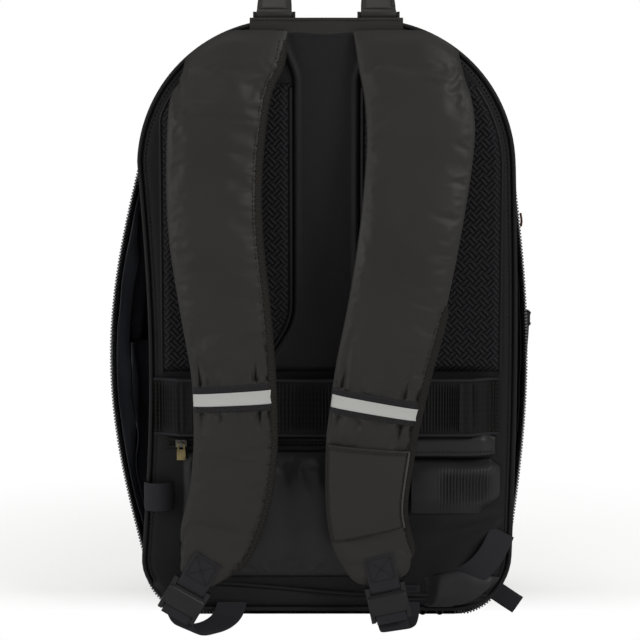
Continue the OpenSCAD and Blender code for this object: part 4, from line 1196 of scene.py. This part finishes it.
class BACKPACK_OT_main_zip(BackpackStep, bpy.types.Operator):
    """Makes both halves of the undone main zip, with the tag at its end."""

    bl_idname = "backpack.main_zip"
    bl_label = "Main Zip"

    def build(self, context):
        self.half("shell", "shell", lambda k: shell_outline(0, k), RIM_Y, -1, "shell_zip")
        self.half("back", "back_half", back_outline, DOOR_Y, 1, "door_zip")
        lo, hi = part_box("zip_end_tag")
        x, z = lo.x / MM + 1.0, (lo.z + hi.z) / 2 / MM

        def tag(u, v):
            return x + 0.8 + 0.5 * math.sin(v * 4), lerp(RIM_Y - 2.4, RIM_Y + 3.2, u), lerp(z - 5.5, z + 5.5, v)
        bm = cloth_grid(10, 16, tag, size=(6, 11))
        face_out(bm, (1, 0, 0))
        finish_piece("zip_end_leather", bm, material("leather_tag"), "shell", "tag", ["zip_end_tag"], thick=1.2)
        for node in ("zip_slider_inner", "zip_slider_outer"):
            rounded_copy(node, node + "_body", "black_nickel", "inner_slider" if "inner" in node else "outer_slider",
                         "metal", 0.5)
        for node in ("zip_pull_inner", "zip_pull_outer"):
            dress(node, "black_nickel")
        rounded_copy("back_slider", "back_slider_body", "black_nickel", "back_zip_slider", "metal", 0.5)
        rounded_copy("front_slider", "front_slider_body", "black_nickel", "front_zip_slider", "metal", 0.5)
        rounded_copy("back_pull", "back_pull_body", "brass_plate", "back_zip_pull", "gold_metal", 0.3)
        rounded_copy("front_pull", "front_pull_body", "black_nickel", "front_zip_pull", "metal", 0.3)

    def half(self, name, body, outline, y, side, node):
        """Tape, teeth and a row of stitches on one rim; side is the way along y that the teeth stand."""
        base = outline(0)
        start = next(i for i, p in enumerate(base) if p[0] > 74)
        pick = slice(start, I_LAST - start + 1)
        line = [(x, y + side * 0.9, z) for x, z in outline(0.4)[pick]]
        bm = sweep(line, [Vector((0, 1.7, 0))] * len(line), flat_section(0.5, 1.7, 10))
        finish_piece(f"{name}_zip_tape", bm, material("zip_tape"), body, "zip", [node])
        # The shell's teeth begin past the place where the sliders' pulls come down as the back half opens
        clear = next(i for i, p in enumerate(base) if p[0] > 104) - start if name == "shell" else 0
        teeth(f"{name}_zip_teeth", [(x, y + side * 2.1, max(z, 1.5)) for x, z in outline(0.1)[pick][clear:]],
              Vector((0, side, 0)), body, (1.5, 2.6, 2.5))
        seam = [(x, y - side * 4.5, z) for x, z in outline(-0.5)[I_SIDE:I_LAST - I_SIDE]]
        stitches(f"{name}_zip_stitches", [seam], body, up=(1, 0, 0))


class BACKPACK_OT_pockets(BackpackStep, bpy.types.Operator):
    """Makes the bottle pocket on the right and the zipped front pocket."""

    bl_idname = "backpack.pockets"
    bl_label = "Outer Pockets"

    def build(self, context):
        self.side()
        self.front()

    def side_x(self, v, z, extra):
        u, h = (v - 0.18) / 0.64, (z - 48) / (248 - 48)
        gape = 18 * max(math.sin(math.pi * min(max(u, 0), 1)), 0) ** 0.7 * max(h, 0) ** 0.6
        pull = (0.9 * math.cos(2 * math.pi * u * 11) * smooth(0.80, 0.97, h) + 1.4 * folds(z, u * 60, 0, 34, 2)) \
            * smooth(0, 0.12, u) * smooth(1, 0.88, u) * smooth(0, 0.1, h)
        return ((BAG_W - TAPER * v) / 2 + RIGHT_SPREAD * (1 - v) ** 1.5 * bulge(z) + 1.3 + extra + gape
                + pull)

    def side(self):
        def place(z0, z1, extra):
            def f(u, v):
                z, w = lerp(z0, z1, v), lerp(0.18, 0.82, u)
                return self.side_x(w, z, extra), shell_y(w), z
            return f
        bm = cloth_grid(66, 70, place(48, 238, 1.4), size=(85, 190))
        face_out(bm, (1, 0, 0))
        finish_piece("side_pocket_cloth", bm, material("bag_cloth"), "shell", "bag_fabric", ["side_pocket_right"],
                     thick=1.2, subdivide=1)
        keys = [[place(242, 242, 1.2)(k / 80, 0), (0, 0, 6)] for k in range(81)]

        def hem(u, v):
            a = 2 * math.pi * u
            return (signed(math.cos(a), 0.35),
                    signed(math.sin(a), 0.5) * (0.9 + 0.22 * math.cos(v * 240)))
        bm = sweep([k[0] for k in keys], [k[1] for k in keys], section(20, hem))
        finish_piece("side_pocket_elastic", bm, material("elastic"), "shell", "bag_fabric", ["side_pocket_hem"])
        for z in (237.5, 246.5):
            stitches(f"side_pocket_stitches_{'low' if z < 240 else 'high'}",
                     [[place(z, z, 2.5)(k / 60, 0) for k in range(61)]], "shell", up=(1, 0, 0))
        for w in (0.18, 0.82):
            line = [(self.side_x(w, z, 0.4), shell_y(w), z) for z in range(48, 249, 5)]
            finish_piece(f"side_pocket_binding_{'rear' if w < 0.5 else 'front'}", tube(line, 1.4, 8),
                         material("webbing"), "shell", "webbing")

    def front(self):
        y0, reach = FRONT_Y + 3, 20
        outline = rounded_box(220, 42, 252, 18, 12)
        rings = [(0.6, y0 + 0.4), (0.0, y0 + 3), (-0.5, y0 + 8), (-0.3, y0 + 13), (0.3, y0 + 17), (1.6, y0 + 19),
                 (4, y0 + 19.8), (9, y0 + 20.2), (18, y0 + 20.7), (30, y0 + 21.1), (46, y0 + 21.5), (64, y0 + 21.8),
                 (84, y0 + 22.0), (None, y0 + 22.0)]
        bm = disc_rows(outline, rings)
        face_out(bm, (0, 1, 0))
        pocket = finish_piece("front_pocket_cloth", bm, material("bag_cloth"), "shell", "bag_fabric",
                              ["front_pocket"], thick=1.6, subdivide=1)

        def hold(co):
            rim = min(110 - abs(co.x), co.z - 42, 252 - co.z)
            return max(1 - smooth(3, 14, rim), smooth(y0 + 18, y0 + 14, co.y))
        inflate(pocket, hold, pressure=2.0, spare=0.03, cap=3.0, frames=14)
        for inset, y, name in ((0.0, y0 + 18.2, "front"), (0.0, y0 + 0.9, "rear")):
            line = [(x, y, z) for x, z in outline(inset)]
            finish_piece(f"front_pocket_piping_{name}", tube(line, 1.5, 8), material("webbing"), "shell", "webbing")
        stitches("front_pocket_stitches", [[(x, y0 + 20.4, z) for x, z in outline(6)]], "shell", up=(0, 1, 0))
        mid = FRONT_Y + 3 + reach - 9
        for side in (-1, 1):
            y = mid + side * 3.6
            bm = ribbon([[(-94, y, 252.7), (0, 2.1, 0)], [(94, y, 252.7), (0, 2.1, 0)]], 0.5, 40, 10)
            finish_piece(f"front_zip_tape_{'front' if side > 0 else 'rear'}", bm, material("zip_tape"), "shell", "zip",
                         ["front_pocket_zip"] if side > 0 else [])
        teeth("front_zip_teeth", [(-92, mid, 252.9), (92, mid, 252.9)], Vector((0, 0, 1)), "shell", (1.5, 3.6, 0.9))


# ---- Harness ----
# Each row: share of the drop, x of the middle, share of the reach, width
STRAP_ROWS = {
    "left": [(0, -70, 0, 80), (0.05, -75, 0.17, 79), (0.105, -84, 0.35, 76), (0.235, -88, 0.62, 72),
             (0.355, -86.5, 0.88, 70), (0.485, -79.5, 1, 67), (0.6, -73.5, 1, 63), (0.695, -72, 0.93, 63),
             (0.76, -72.6, 0.86, 63), (0.84, -77, 0.74, 62), (0.905, -85, 0.62, 60), (0.955, -93, 0.62, 55),
             (1, -104, 0.62, 46)],
    "right": [(0, 62, 0, 82), (0.05, 66, 0.17, 83), (0.1, 71, 0.34, 84), (0.165, 73, 0.5, 84),
              (0.235, 71, 0.62, 82), (0.355, 64, 0.88, 78), (0.485, 54, 1, 75), (0.6, 43, 1, 72),
              (0.695, 36, 0.93, 69), (0.745, 33.2, 0.885, 67.5), (0.85, 30.5, 0.74, 62), (0.915, 34, 0.62, 61),
              (0.965, 42.2, 0.62, 57), (1, 45.4, 0.62, 48)],
}
END_ANGLE = {"left": 30, "right": -12}
STRAP_TOP, STRAP_END, STRAP_REACH = 469.5, 45, 45
STRAP_STEPS = 210
BAND_ROW = {"left": 6.5, "right": 7.68}


def follow_arch(p):
    """Lifts a point near a strap's top so that the strap's end follows the bag's arched edge."""
    over = lerp(7.0, -17.0, min(max((abs(p.x) - 72) / 42, 0), 1) ** 1.5)
    return p + Vector((0, 0, over * smooth(392, STRAP_TOP, p.z)))


def end_width(v, side):
    """A strap's lower end narrows towards its tab, the left one more, and its corners are round."""
    narrow = 1 - (0.3 if side == "left" else 0.06) * smooth(0.9, 1.0, v) ** 1.4
    return narrow * (1 - 0.3 * (1 - math.sqrt(max(1 - min(max((v - 0.965) / 0.035, 0), 1) ** 2, 0))))


def strap_keys(side):
    rows = STRAP_ROWS[side]
    centres = [Vector((x, BACK_Y - lerp(STRAP_T / 2 + 0.4, STRAP_REACH, reach), lerp(STRAP_TOP, STRAP_END, drop)))
               for drop, x, reach, _ in rows]
    keys = []
    for i, (drop, _, _, width) in enumerate(rows):
        t = (centres[min(i + 1, len(rows) - 1)] - centres[max(i - 1, 0)]).normalized()
        cross = Vector((-t.z, 0, t.x)).normalized()
        f = min(drop * 8, 1)
        keys.append([tuple(centres[i]), tuple(lerp(Vector((1, 0, 0)), cross, f).normalized() * width / 2)])
    return keys


def strap_rows(side, n=STRAP_STEPS):
    """Smooth (centre, half-width vector, outward normal) rows of a strap."""
    rows = curve_points(strap_keys(side), n)
    normals = frames_along([r[0] for r in rows], [r[1] for r in rows])
    return [(r[0], r[1], m) for r, m in zip(rows, normals)]


def row_at(keys, key_row):
    """Share along a strap of a point given as key row plus a share of the way to the next."""
    lengths = [(Vector(b[0]) - Vector(a[0])).length for a, b in zip(keys, keys[1:])]
    i = int(key_row)
    return (sum(lengths[:i]) + (key_row - i) * (lengths[i] if i < len(lengths) else 0)) / sum(lengths)


class BACKPACK_OT_straps(BackpackStep, bpy.types.Operator):
    """Makes the padded shoulder straps with their bindings, reflective strips and card pocket."""

    bl_idname = "backpack.straps"
    bl_label = "Shoulder Straps"

    def build(self, context):
        for side in ("left", "right"):
            self.strap(side)
            self.band(side)
            self.binding(side)
        self.card_pocket()

    def skin(self, side, share, v, lift=0.0):
        """Point on a strap's outer face: share is -1 to 1 across it."""
        rows = self.rows[side]
        k = v * (len(rows) - 1)
        i = min(int(k), len(rows) - 2)
        t = k - i
        c = rows[i][0].lerp(rows[i + 1][0], t)
        a = rows[i][1].lerp(rows[i + 1][1], t)
        m = rows[i][2].lerp(rows[i + 1][2], t).normalized()
        height = self.half_thickness(side, share, v, True) + lift
        return follow_arch(c + a * share * end_width(v, side) + m * height)

    def half_thickness(self, side, share, v, top):
        """Half thickness of a strap: full in the middle, pinched at the stitched band and the two ends."""
        crown = sizes().strap_crown / MM
        edge = max(1 - abs(share) ** 5, 0) ** 0.5
        full = STRAP_T / 2 - 0.9
        band = self.band_at[side]
        off = (v - band) * STRAP_LENGTH
        pinch = math.exp(-(off / 9) ** 2) * 1.5
        body = (full * edge + (crown if top else 0.5 * crown) * max(1 - share * share, 0))
        ends = lerp(0.55, 1, smooth(0, 0.03, v)) * lerp(0.6, 1, smooth(1, 0.975, v))
        # Gathers run away from the stitched band and die out within a hand's breadth
        gather = 0.0
        if top:
            near = math.exp(-abs(abs(off) - 12) / 11) * smooth(9.5, 13, abs(off))
            phase = share * 15 + 3.4 * noise.noise(Vector((share * 2.4, 0 if off > 0 else 7, 3)))
            gather = near * edge * (2.0 * math.sin(phase * 1.25) - 3.4 * (1 - abs(math.sin(phase * 0.9 + 1))) ** 2.5)
        if side == "right":
            low = (v - self.card_top) * STRAP_LENGTH
            pinch += 0.8 * math.exp(-((low + 2) / 10) ** 2)
        return (body - pinch * edge) * ends + gather

    def strap(self, side):
        keys = strap_keys(side)
        if not hasattr(self, "rows"):
            self.rows, self.band_at, self.card_top = {}, {}, 0.0
        self.rows[side] = strap_rows(side)
        self.band_at[side] = row_at(keys, BAND_ROW[side])
        self.card_top = row_at(strap_keys("right"), 9)
        rows = self.rows[side]
        seed = 2.0 if side == "left" else 8.0

        def shape(u, v):
            a = 2 * math.pi * u
            share = signed(math.cos(a), 0.75)
            top = math.sin(a) >= 0
            h = self.half_thickness(side, share, v, top)
            along = v * STRAP_LENGTH
            wave = 0.7 * folds(share * 30, along, 0, 55, seed) + 0.25 * folds(share * 30, along, 9, 18, seed)
            return share * end_width(v, side), (h if top else -h) + wave * (1 - abs(share) ** 4)
        bm = sweep_rows(rows, section(84, shape), size=(170, STRAP_LENGTH))
        for vert in bm.verts:
            vert.co = follow_arch(vert.co / MM) * MM
        body = f"strap_{side}"
        strap = finish_piece(f"{body}_pad", bm, [material("strap_cloth"), material("spacer_mesh")], body,
                             "strap_fabric", [f"{body}_cover", f"{body}_foam", f"{body}_mesh"])
        rows_mm = [(r[0], r[1].length) for r in rows]

        def hold(co):
            k = min(range(len(rows_mm)), key=lambda i: abs(rows_mm[i][0].z - co.z))
            c, half = rows_mm[k]
            share = abs((co - c).dot(rows[k][1]) / (half * half))
            off = abs(k / (len(rows) - 1) - self.band_at[side]) * STRAP_LENGTH
            return max(smooth(0.86, 0.97, share), 1 - smooth(8, 16, off), 1 - smooth(0, 14, k),
                       1 - smooth(0, 10, len(rows) - 1 - k))
        inflate(strap, hold, pressure=3.0, spare=0.02, cap=1.4, frames=12)
        for poly in strap.data.polygons:
            poly.material_index = 1 if poly.normal.y > 0.25 else 0

    def band(self, side):
        """Two dark stitched bands with the reflective strip between them."""
        body, mid, length = f"strap_{side}", self.band_at[side], STRAP_LENGTH
        half_band = 10.5 / length
        for name, at, half, lift, finish, slot, node in (
                ("reflector_base", mid, half_band, 0.55, "webbing", "webbing", None),
                ("reflector_strip", mid, 5.2 / length, 1.15, "reflective_tape", "reflector",
                 f"strap_{side}_reflector")):
            def place(u, v, at=at, half=half, lift=lift):
                share = lerp(-0.985, 0.985, u)
                p = self.skin(side, share, at + lerp(-half, half, v), lift)
                return p + Vector((0, -0.12 * abs(math.sin(share * 21)), 0))
            bm = cloth_grid(48, 10, place, size=(66, 2 * half * length))
            face_out(bm, (0, -1, 0))
            finish_piece(f"{body}_{name}", bm, material(finish), body, slot, [node] if node else [], thick=0.5)
        lines = []
        for off in (-9.3, -6.6, 6.6, 9.3):
            lines.append([self.skin(side, lerp(-0.96, 0.96, k / 40), mid + off / length, 0.95) for k in range(41)])
        stitches(f"{body}_band_stitches", lines, body)

    def binding(self, side):
        """Woven tape folded over the edge nearer the wearer's neck on the left, the outer edge on the right."""
        edge = 1
        rows = self.rows[side]
        first = 3 if side == "left" else int(0.47 * STRAP_STEPS)
        line, across = [], []
        for k, r in enumerate(rows[first:-6], first):
            outward = r[1].normalized() * edge
            half = r[1].length * end_width(k / STRAP_STEPS, side) - 1.2
            line.append(follow_arch(r[0] + outward * half + r[2] * -0.2))
            across.append(outward * 4.0)

        def shape(u, v):
            a = 2 * math.pi * u
            ends = lerp(0.6, 1, smooth(0, 0.03, v)) * lerp(0.6, 1, smooth(1, 0.97, v))
            bump = 0.12 * math.cos(v * 900)
            return math.cos(a) * ends, (math.sin(a) * (3.3 + bump)) * ends
        bm = sweep(line, across, section(14, shape), size=(22, 430))
        finish_piece(f"strap_{side}_binding", bm, material("binding"), f"strap_{side}", "webbing")
        face = [self.skin(side, edge * 0.88, k / (len(rows) - 1), 0.25) for k in range(first, len(rows) - 8)]
        stitches(f"strap_{side}_edge_stitches", [face], f"strap_{side}")

    def card_pocket(self):
        """Flat card pocket sewn on the right strap, with a bound mouth."""
        keys = strap_keys("right")
        v0, v1 = row_at(keys, 9), row_at(keys, 10.92)

        def place(u, v, lift=0.0):
            share, at = lerp(-0.97, 0.93, u), lerp(v1, v0, v)
            edge = min(smooth(0, 0.05, u), smooth(1, 0.95, u), smooth(0, 0.04, v))
            return self.skin("right", share, at, 0.55 + 0.95 * edge + lift + 0.5 * folds(u * 60, v * 80, 0, 26, 6))
        bm = cloth_grid(44, 56, place, size=(58, 74))
        face_out(bm, (0, -1, 0))
        finish_piece("card_pocket_cloth", bm, material("strap_cloth"), "strap_right", "strap_fabric",
                     ["strap_right_pocket"], thick=0.5)
        mouth = [place(k / 40, 1, 0.2) for k in range(41)]
        finish_piece("card_pocket_piping", tube(mouth, 1.0, 8), material("strap_cloth"), "strap_right", "webbing")
        stitches("card_pocket_stitches", [[place(k / 40, 0.955, 0.45) for k in range(41)],
                                          [place(0.975, k / 50, 0.35) for k in range(49)],
                                          [place(0.025, k / 50, 0.35) for k in range(49)],
                                          [place(k / 40, 0.02, 0.35) for k in range(41)]], "strap_right")
        edge = [place(1.0, k / 50, 0.5) for k in range(51)]
        finish_piece("card_pocket_edge", tube(edge, 1.15, 10), material("edge_paint"), "strap_right", "webbing")


LOCK = {"pivot_drop": 5, "depth": -3, "mid_bar": -12, "low_bar": -23.5, "bar_r": 2.4, "tab": 22}


def lock_point(side, x, y, z):
    """A point in a ladder lock's own frame, z along the strap's end, as a point of the bag."""
    a = math.radians(END_ANGLE[side])
    end = Vector(strap_keys(side)[-1][0])
    origin = end + Vector((-math.sin(a), 0, -math.cos(a))) * LOCK["pivot_drop"] + Vector((0, LOCK["depth"], 0))
    return origin + Vector((x * math.cos(a) + z * math.sin(a), y, -x * math.sin(a) + z * math.cos(a)))


def lock_across(side, half):
    a = math.radians(END_ANGLE[side])
    return Vector((math.cos(a), 0, -math.sin(a))) * half


class BACKPACK_OT_locks(BackpackStep, bpy.types.Operator):
    """Makes the ladder locks, the stitched tabs that hold them and the adjuster webbing threaded through them."""

    bl_idname = "backpack.locks"
    bl_label = "Ladder Locks and Adjusters"

    def build(self, context):
        for side, anchor_x in (("left", -76), ("right", 64)):
            self.lock(side)
            self.tab(side)
            self.adjuster(side, anchor_x)

    def lock(self, side):
        rounded_copy(f"ladder_lock_{side}", f"ladder_lock_{side}_moulding", "acetal", f"lock_{side}", "plastic",
                     0.9, 3)
        # Curved thumb plate over the webbing, with a raised rib across its top
        keys = [[tuple(lock_point(side, 0, y, z)), tuple(lock_across(side, w))]
                for y, z, w in ((-2.6, -3.9, 13), (-4.4, -5.6, 15), (-5.4, -9, 15.6), (-5.7, -13, 15.2),
                                (-5.4, -17, 14.2), (-5.1, -19.6, 12.4))]
        rows = curve_points(keys, 26)

        def plate(u, v):
            a = 2 * math.pi * u
            rib = 0.8 * math.exp(-((v - 0.22) / 0.07) ** 2)
            return (signed(math.cos(a), 0.3),
                    signed(math.sin(a), 0.5) * (0.55 + (rib if math.sin(a) > 0 else 0)))
        bm = sweep_rows(rows, section(28, plate))
        finish_piece(f"ladder_lock_{side}_plate", bm, material("acetal"), f"lock_{side}", "plastic")

    def tab(self, side):
        half, face = 12.0, -2.95
        keys = [(face, 27.0), (face, 14.0), (face, 4.0), (face, 0.4)]
        turns = [math.radians(d) for d in range(195, 346, 30)]
        keys += [(3.0 * math.cos(a), 3.0 * math.sin(a)) for a in turns]
        keys += [(3.0, 1.2), (2.4, 4.4)]
        rows = curve_points([[tuple(lock_point(side, 0, y, z)), tuple(lock_across(side, half))] for y, z in keys], 70)
        bm = sweep_rows(rows, flat_section(0.68, half, 18))
        finish_piece(f"strap_{side}_webbing_tab", bm, material("webbing"), f"strap_{side}", "webbing",
                     [f"strap_{side}_tab"])
        y, w, z0, z1 = face - 0.85, 9.4, 7.0, 25.0
        box = [(-w, z0), (w, z0), (w, z1), (-w, z1), (-w, z0)]
        lines = [[lock_point(side, *p) for p in ((a[0], y, a[1]), (b[0], y, b[1]))] for a, b in zip(box, box[1:])]
        lines += [[lock_point(side, -w, y, z0), lock_point(side, w, y, z1)],
                  [lock_point(side, -w, y, z1), lock_point(side, w, y, z0)]]
        stitches(f"strap_{side}_tab_stitches", lines, f"strap_{side}", pitch=2.6, thread=(1.9, 0.7, 0.6))

    def adjuster(self, side, anchor_x):
        """Webbing from the foot of the back panel, down in a loop, up behind the lock and over its middle bar."""
        reach, gap, half = LOCK["bar_r"] + 0.6 + 0.7, 2.2 + 0.6 + 0.7, 11.9
        lock = lock_point(side, 0, 0, 0)
        low = lock_point(side, 0, reach, LOCK["low_bar"] - 3)
        base = [(anchor_x, BACK_Y - 1.2, 34), (anchor_x, BACK_Y - 1.2, 22),
                (lerp(anchor_x, low.x, 0.08), BACK_Y - 6, 11),
                (lerp(anchor_x, low.x, 0.25), lerp(BACK_Y - 8, lock.y, 0.3), 6),
                (lerp(anchor_x, low.x, 0.5), lerp(BACK_Y - 8, lock.y, 0.65), 4.6),
                (lerp(anchor_x, low.x, 0.8), lerp(BACK_Y - 8, lock.y, 0.95), 6.6)]
        near = lock_point(side, 0, reach, LOCK["mid_bar"] - 5)
        line = [Vector(p) for p in base] + [low.lerp(near, 0.35), near]
        line += [lock_point(side, 0, gap * math.cos(a), LOCK["mid_bar"] + gap * math.sin(a))
                 for a in (math.radians(36 * k) for k in range(6))]
        line += [lock_point(side, 0, -reach - 0.3, LOCK["low_bar"] + 3),
                 lock_point(side, 0, -reach - 0.3, LOCK["low_bar"] - 4)]
        keys = []
        for i, p in enumerate(line):
            f = min(max((i - 1) / 5, 0), 1)
            keys.append([tuple(p), tuple(Vector((1, 0, 0)).lerp(lock_across(side, 1), f).normalized() * half)])
        rows = curve_points(keys, 130)
        bend, inside = (min(range(len(rows)), key=lambda i: (rows[i][0] - line[k]).length) for k in (5, 6))
        for name, part, body, nodes in (("loop", rows[:bend + 1], None, [f"adjuster_{side}"]),
                                        ("bend", rows[bend:inside + 1], None, []),
                                        ("tail", rows[inside:], f"lock_{side}", [])):
            bm = sweep([r[0] for r in part], [r[1] for r in part], flat_section(0.66, half, 18))
            web = finish_piece(f"adjuster_{side}_{name}", bm, material("webbing"), body, "webbing", nodes)
            if name == "loop":
                Vector(line[5]) * MM
                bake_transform(web)
            elif name == "bend":
                Vector(line[5]) * MM
                Vector(line[6]) * MM
                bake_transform(web)
        anchor = [[(anchor_x + x, BACK_Y - 2.3, z) for x in range(-10, 11, 2)] for z in (31.5, 25.5)]
        stitches(f"adjuster_{side}_stitches", anchor, "back_half")


class BACKPACK_OT_webbing(BackpackStep, bpy.types.Operator):
    """Makes the lash loop, the curved webbing, the corner tail and the yoke strip."""

    bl_idname = "backpack.webbing"
    bl_label = "Webbing Trims"

    def build(self, context):
        web = material("webbing")
        z = 108
        edge = -(BAG_W - 4) / 2 + WAIST * bulge(z) - 2
        loop = [(edge, BACK_Y + 22), (edge, BACK_Y + 2), (edge + 0.5, BACK_Y - 5), (edge + 5, BACK_Y - 10),
                (edge + 13, BACK_Y - 11), (edge + 20, BACK_Y - 8), (edge + 23, BACK_Y - 2.6)]
        bm = ribbon([[(x, y, z), (0, 0, 11.3)] for x, y in loop], 0.68, 60)
        finish_piece("lash_loop_webbing", bm, web, "back_half", "webbing", ["side_loop_left"])
        x = BAG_W / 2
        line = [(x - 8, BACK_Y - 1.2, 78), (x - 12, BACK_Y - 5, 70), (x - 19, BACK_Y - 7, 58),
                (x - 30, BACK_Y - 6, 46), (x - 43, BACK_Y - 1.2, 38)]
        keys = []
        for i, p in enumerate(line):
            t = Vector(line[min(i + 1, 4)]) - Vector(line[max(i - 1, 0)])
            keys.append([p, tuple(Vector((-t.z, 0, t.x)).normalized() * 10.5)])
        bm = ribbon(keys, 0.68, 50)
        finish_piece("curved_webbing", bm, web, "back_half", "webbing", ["side_webbing_right"])
        a = math.radians(-34)
        way, across = Vector((math.cos(a), 0, math.sin(a))), Vector((math.sin(a), 0, -math.cos(a))) * 8
        mid = Vector((BAG_W / 2 - CORNER_R, RIM_Y - 3.8, CORNER_R))
        keys = [[tuple(mid + way * (38 + 26 * t) + Vector((0, -0.8 * math.sin(3 * t), 0))), tuple(across)]
                for t in (0, 0.25, 0.5, 0.75, 1)]
        bm = ribbon(keys, 0.66, 24)
        finish_piece("corner_tail_webbing", bm, web, "shell", "webbing", ["corner_tail"])
        # The yoke also hides the ends of the handle: it stands up to the pins
        keys = [[(x, BACK_Y - 1.0 - 0.3 * math.cos(x / 7), 479.6), (0, 0, 7.9)] for x in range(-60, 61, 6)]
        bm = ribbon(keys, 0.95, 60)
        finish_piece("yoke_tape", bm, material("strap_cloth"), "back_half", "webbing", ["harness_yoke"])
        stitches("yoke_stitches", [[(x, BACK_Y - 2.4, z) for x in range(-58, 59, 4)] for z in (473.6, 485.6)],
                 "back_half")


class BACKPACK_OT_handle(BackpackStep, bpy.types.Operator):
    """Makes the padded grab handle on its two pins."""

    bl_idname = "backpack.handle"
    bl_label = "Grab Handle"

    def at(self, x, y, z):
        """A point in the handle's own frame, z up along its legs, leaning away from the back panel."""
        a = math.radians(50)
        c, s = math.cos(a), math.sin(a)
        return Vector((x, BACK_Y + 7 + y * c + z * s, BAG_H + 5 - y * s + z * c))

    def build(self, context):
        half_line = [(-41, 3.5, 13.8), (-41, 12, 13.7), (-40.6, 22, 13.0), (-38, 30.5, 11.0), (-31, 36.4, 8.8),
                     (-20, 38.8, 7.2), (-7, 39, 7.0)]
        line = half_line + [(-x, z, w) for x, z, w in half_line[::-1]]
        keys = []
        for i, (x, z, w) in enumerate(line):
            a, b = line[max(i - 1, 0)], line[min(i + 1, len(line) - 1)]
            t = Vector((b[0] - a[0], 0, b[1] - a[1])).normalized()
            side = Vector((t.z, 0, -t.x)) * w
            o = self.at(0, 0, 0)
            keys.append([tuple(self.at(x, 0, z)), tuple(self.at(side.x, 0, side.z) - o)])
        rows = curve_points(keys, 90)

        def shape(u, v):
            a = 2 * math.pi * u
            c, s = math.cos(a), math.sin(a)
            wave = 0.35 * folds(c * 12, v * 160, 0, 16, 3)
            return signed(c, 0.6), signed(s, 0.7) * 4.1 + wave * abs(s)
        bm = sweep_rows(rows, section(32, shape))
        grip = finish_piece("handle_grip", bm, material("strap_cloth"), "handle", "strap_fabric", ["grab_handle"],
                            subdivide=1)
        for side in (-1, 1):
            ring = [(-13.8, 2.9), (-13.8, 4.0), (-13.2, 4.4), (13.2, 4.4), (13.8, 4.0), (13.8, 2.9), (-13.8, 2.9)]

            def place(u, v):
                x, r = ring[round(v * (len(ring) - 1))]
                a = 2 * math.pi * u
                return self.at(side * 41 + x, r * math.cos(a), r * math.sin(a))
            bm = cloth_grid(32, len(ring) - 1, place, size=(26, 30), wrap=True)
            bmesh.ops.recalc_face_normals(bm, faces=bm.faces)
            finish_piece(f"handle_sleeve_{'right' if side > 0 else 'left'}", bm, material("strap_cloth"), "handle",
                         "strap_fabric")
        inner = ((-30.4, 6), (-30.4, 22), (-27, 29), (-22, 32.8), (-10, 33.4), (0, 33.4))
        outer = ((-52, 6), (-52, 24), (-48, 35), (-38, 42), (-22, 44.2), (0, 44.4))
        lines = [[self.at(x * side, y, z) for x, z in edge] for y, edge in ((-4.75, inner), (-4.4, outer))
                 for side in (-1, 1)]
        stitches("handle_stitches", lines, "handle", up=tuple(self.at(0, -1, 0) - self.at(0, 0, 0)))
        dress("handle_pins", "strap_cloth")


class BACKPACK_PT_panel(bpy.types.Panel):
    """Lists the steps, sizes and colours in the sidebar."""

    bl_idname = "BACKPACK_PT_panel"
    bl_label = "Racket Backpack"
    bl_space_type = "VIEW_3D"
    bl_region_type = "UI"
    bl_category = "Backpack"

    def draw(self, context):
        column = self.layout.column(align=True)
        for step in STEPS:
            column.operator(step.bl_idname)
        for group in (context.scene.backpack_sizes, context.scene.backpack_colours):
            box = self.layout.box()
            for name in group.__annotations__:
                box.prop(group, name)


STEPS = (BACKPACK_OT_stage, BACKPACK_OT_shell, BACKPACK_OT_lining, BACKPACK_OT_back_half, BACKPACK_OT_mesh_pads,
         BACKPACK_OT_luggage_band, BACKPACK_OT_lower_back, BACKPACK_OT_main_zip, BACKPACK_OT_pockets,
         BACKPACK_OT_straps, BACKPACK_OT_locks, BACKPACK_OT_webbing, BACKPACK_OT_handle)
CLASSES = (BackpackSizes, BackpackColours, *STEPS, BACKPACK_PT_panel)


def register():
    for c in CLASSES:
        bpy.utils.register_class(c)
    bpy.types.Scene.backpack_sizes = bpy.props.PointerProperty(type=BackpackSizes)
    bpy.types.Scene.backpack_colours = bpy.props.PointerProperty(type=BackpackColours)


def unregister():
    del bpy.types.Scene.backpack_sizes, bpy.types.Scene.backpack_colours
    for c in reversed(CLASSES):
        bpy.utils.unregister_class(c)


def main():
    register()
    for step in STEPS:
        group, name = step.bl_idname.split(".")
        getattr(getattr(bpy.ops, group), name)()


if __name__ == "__main__":
    main()
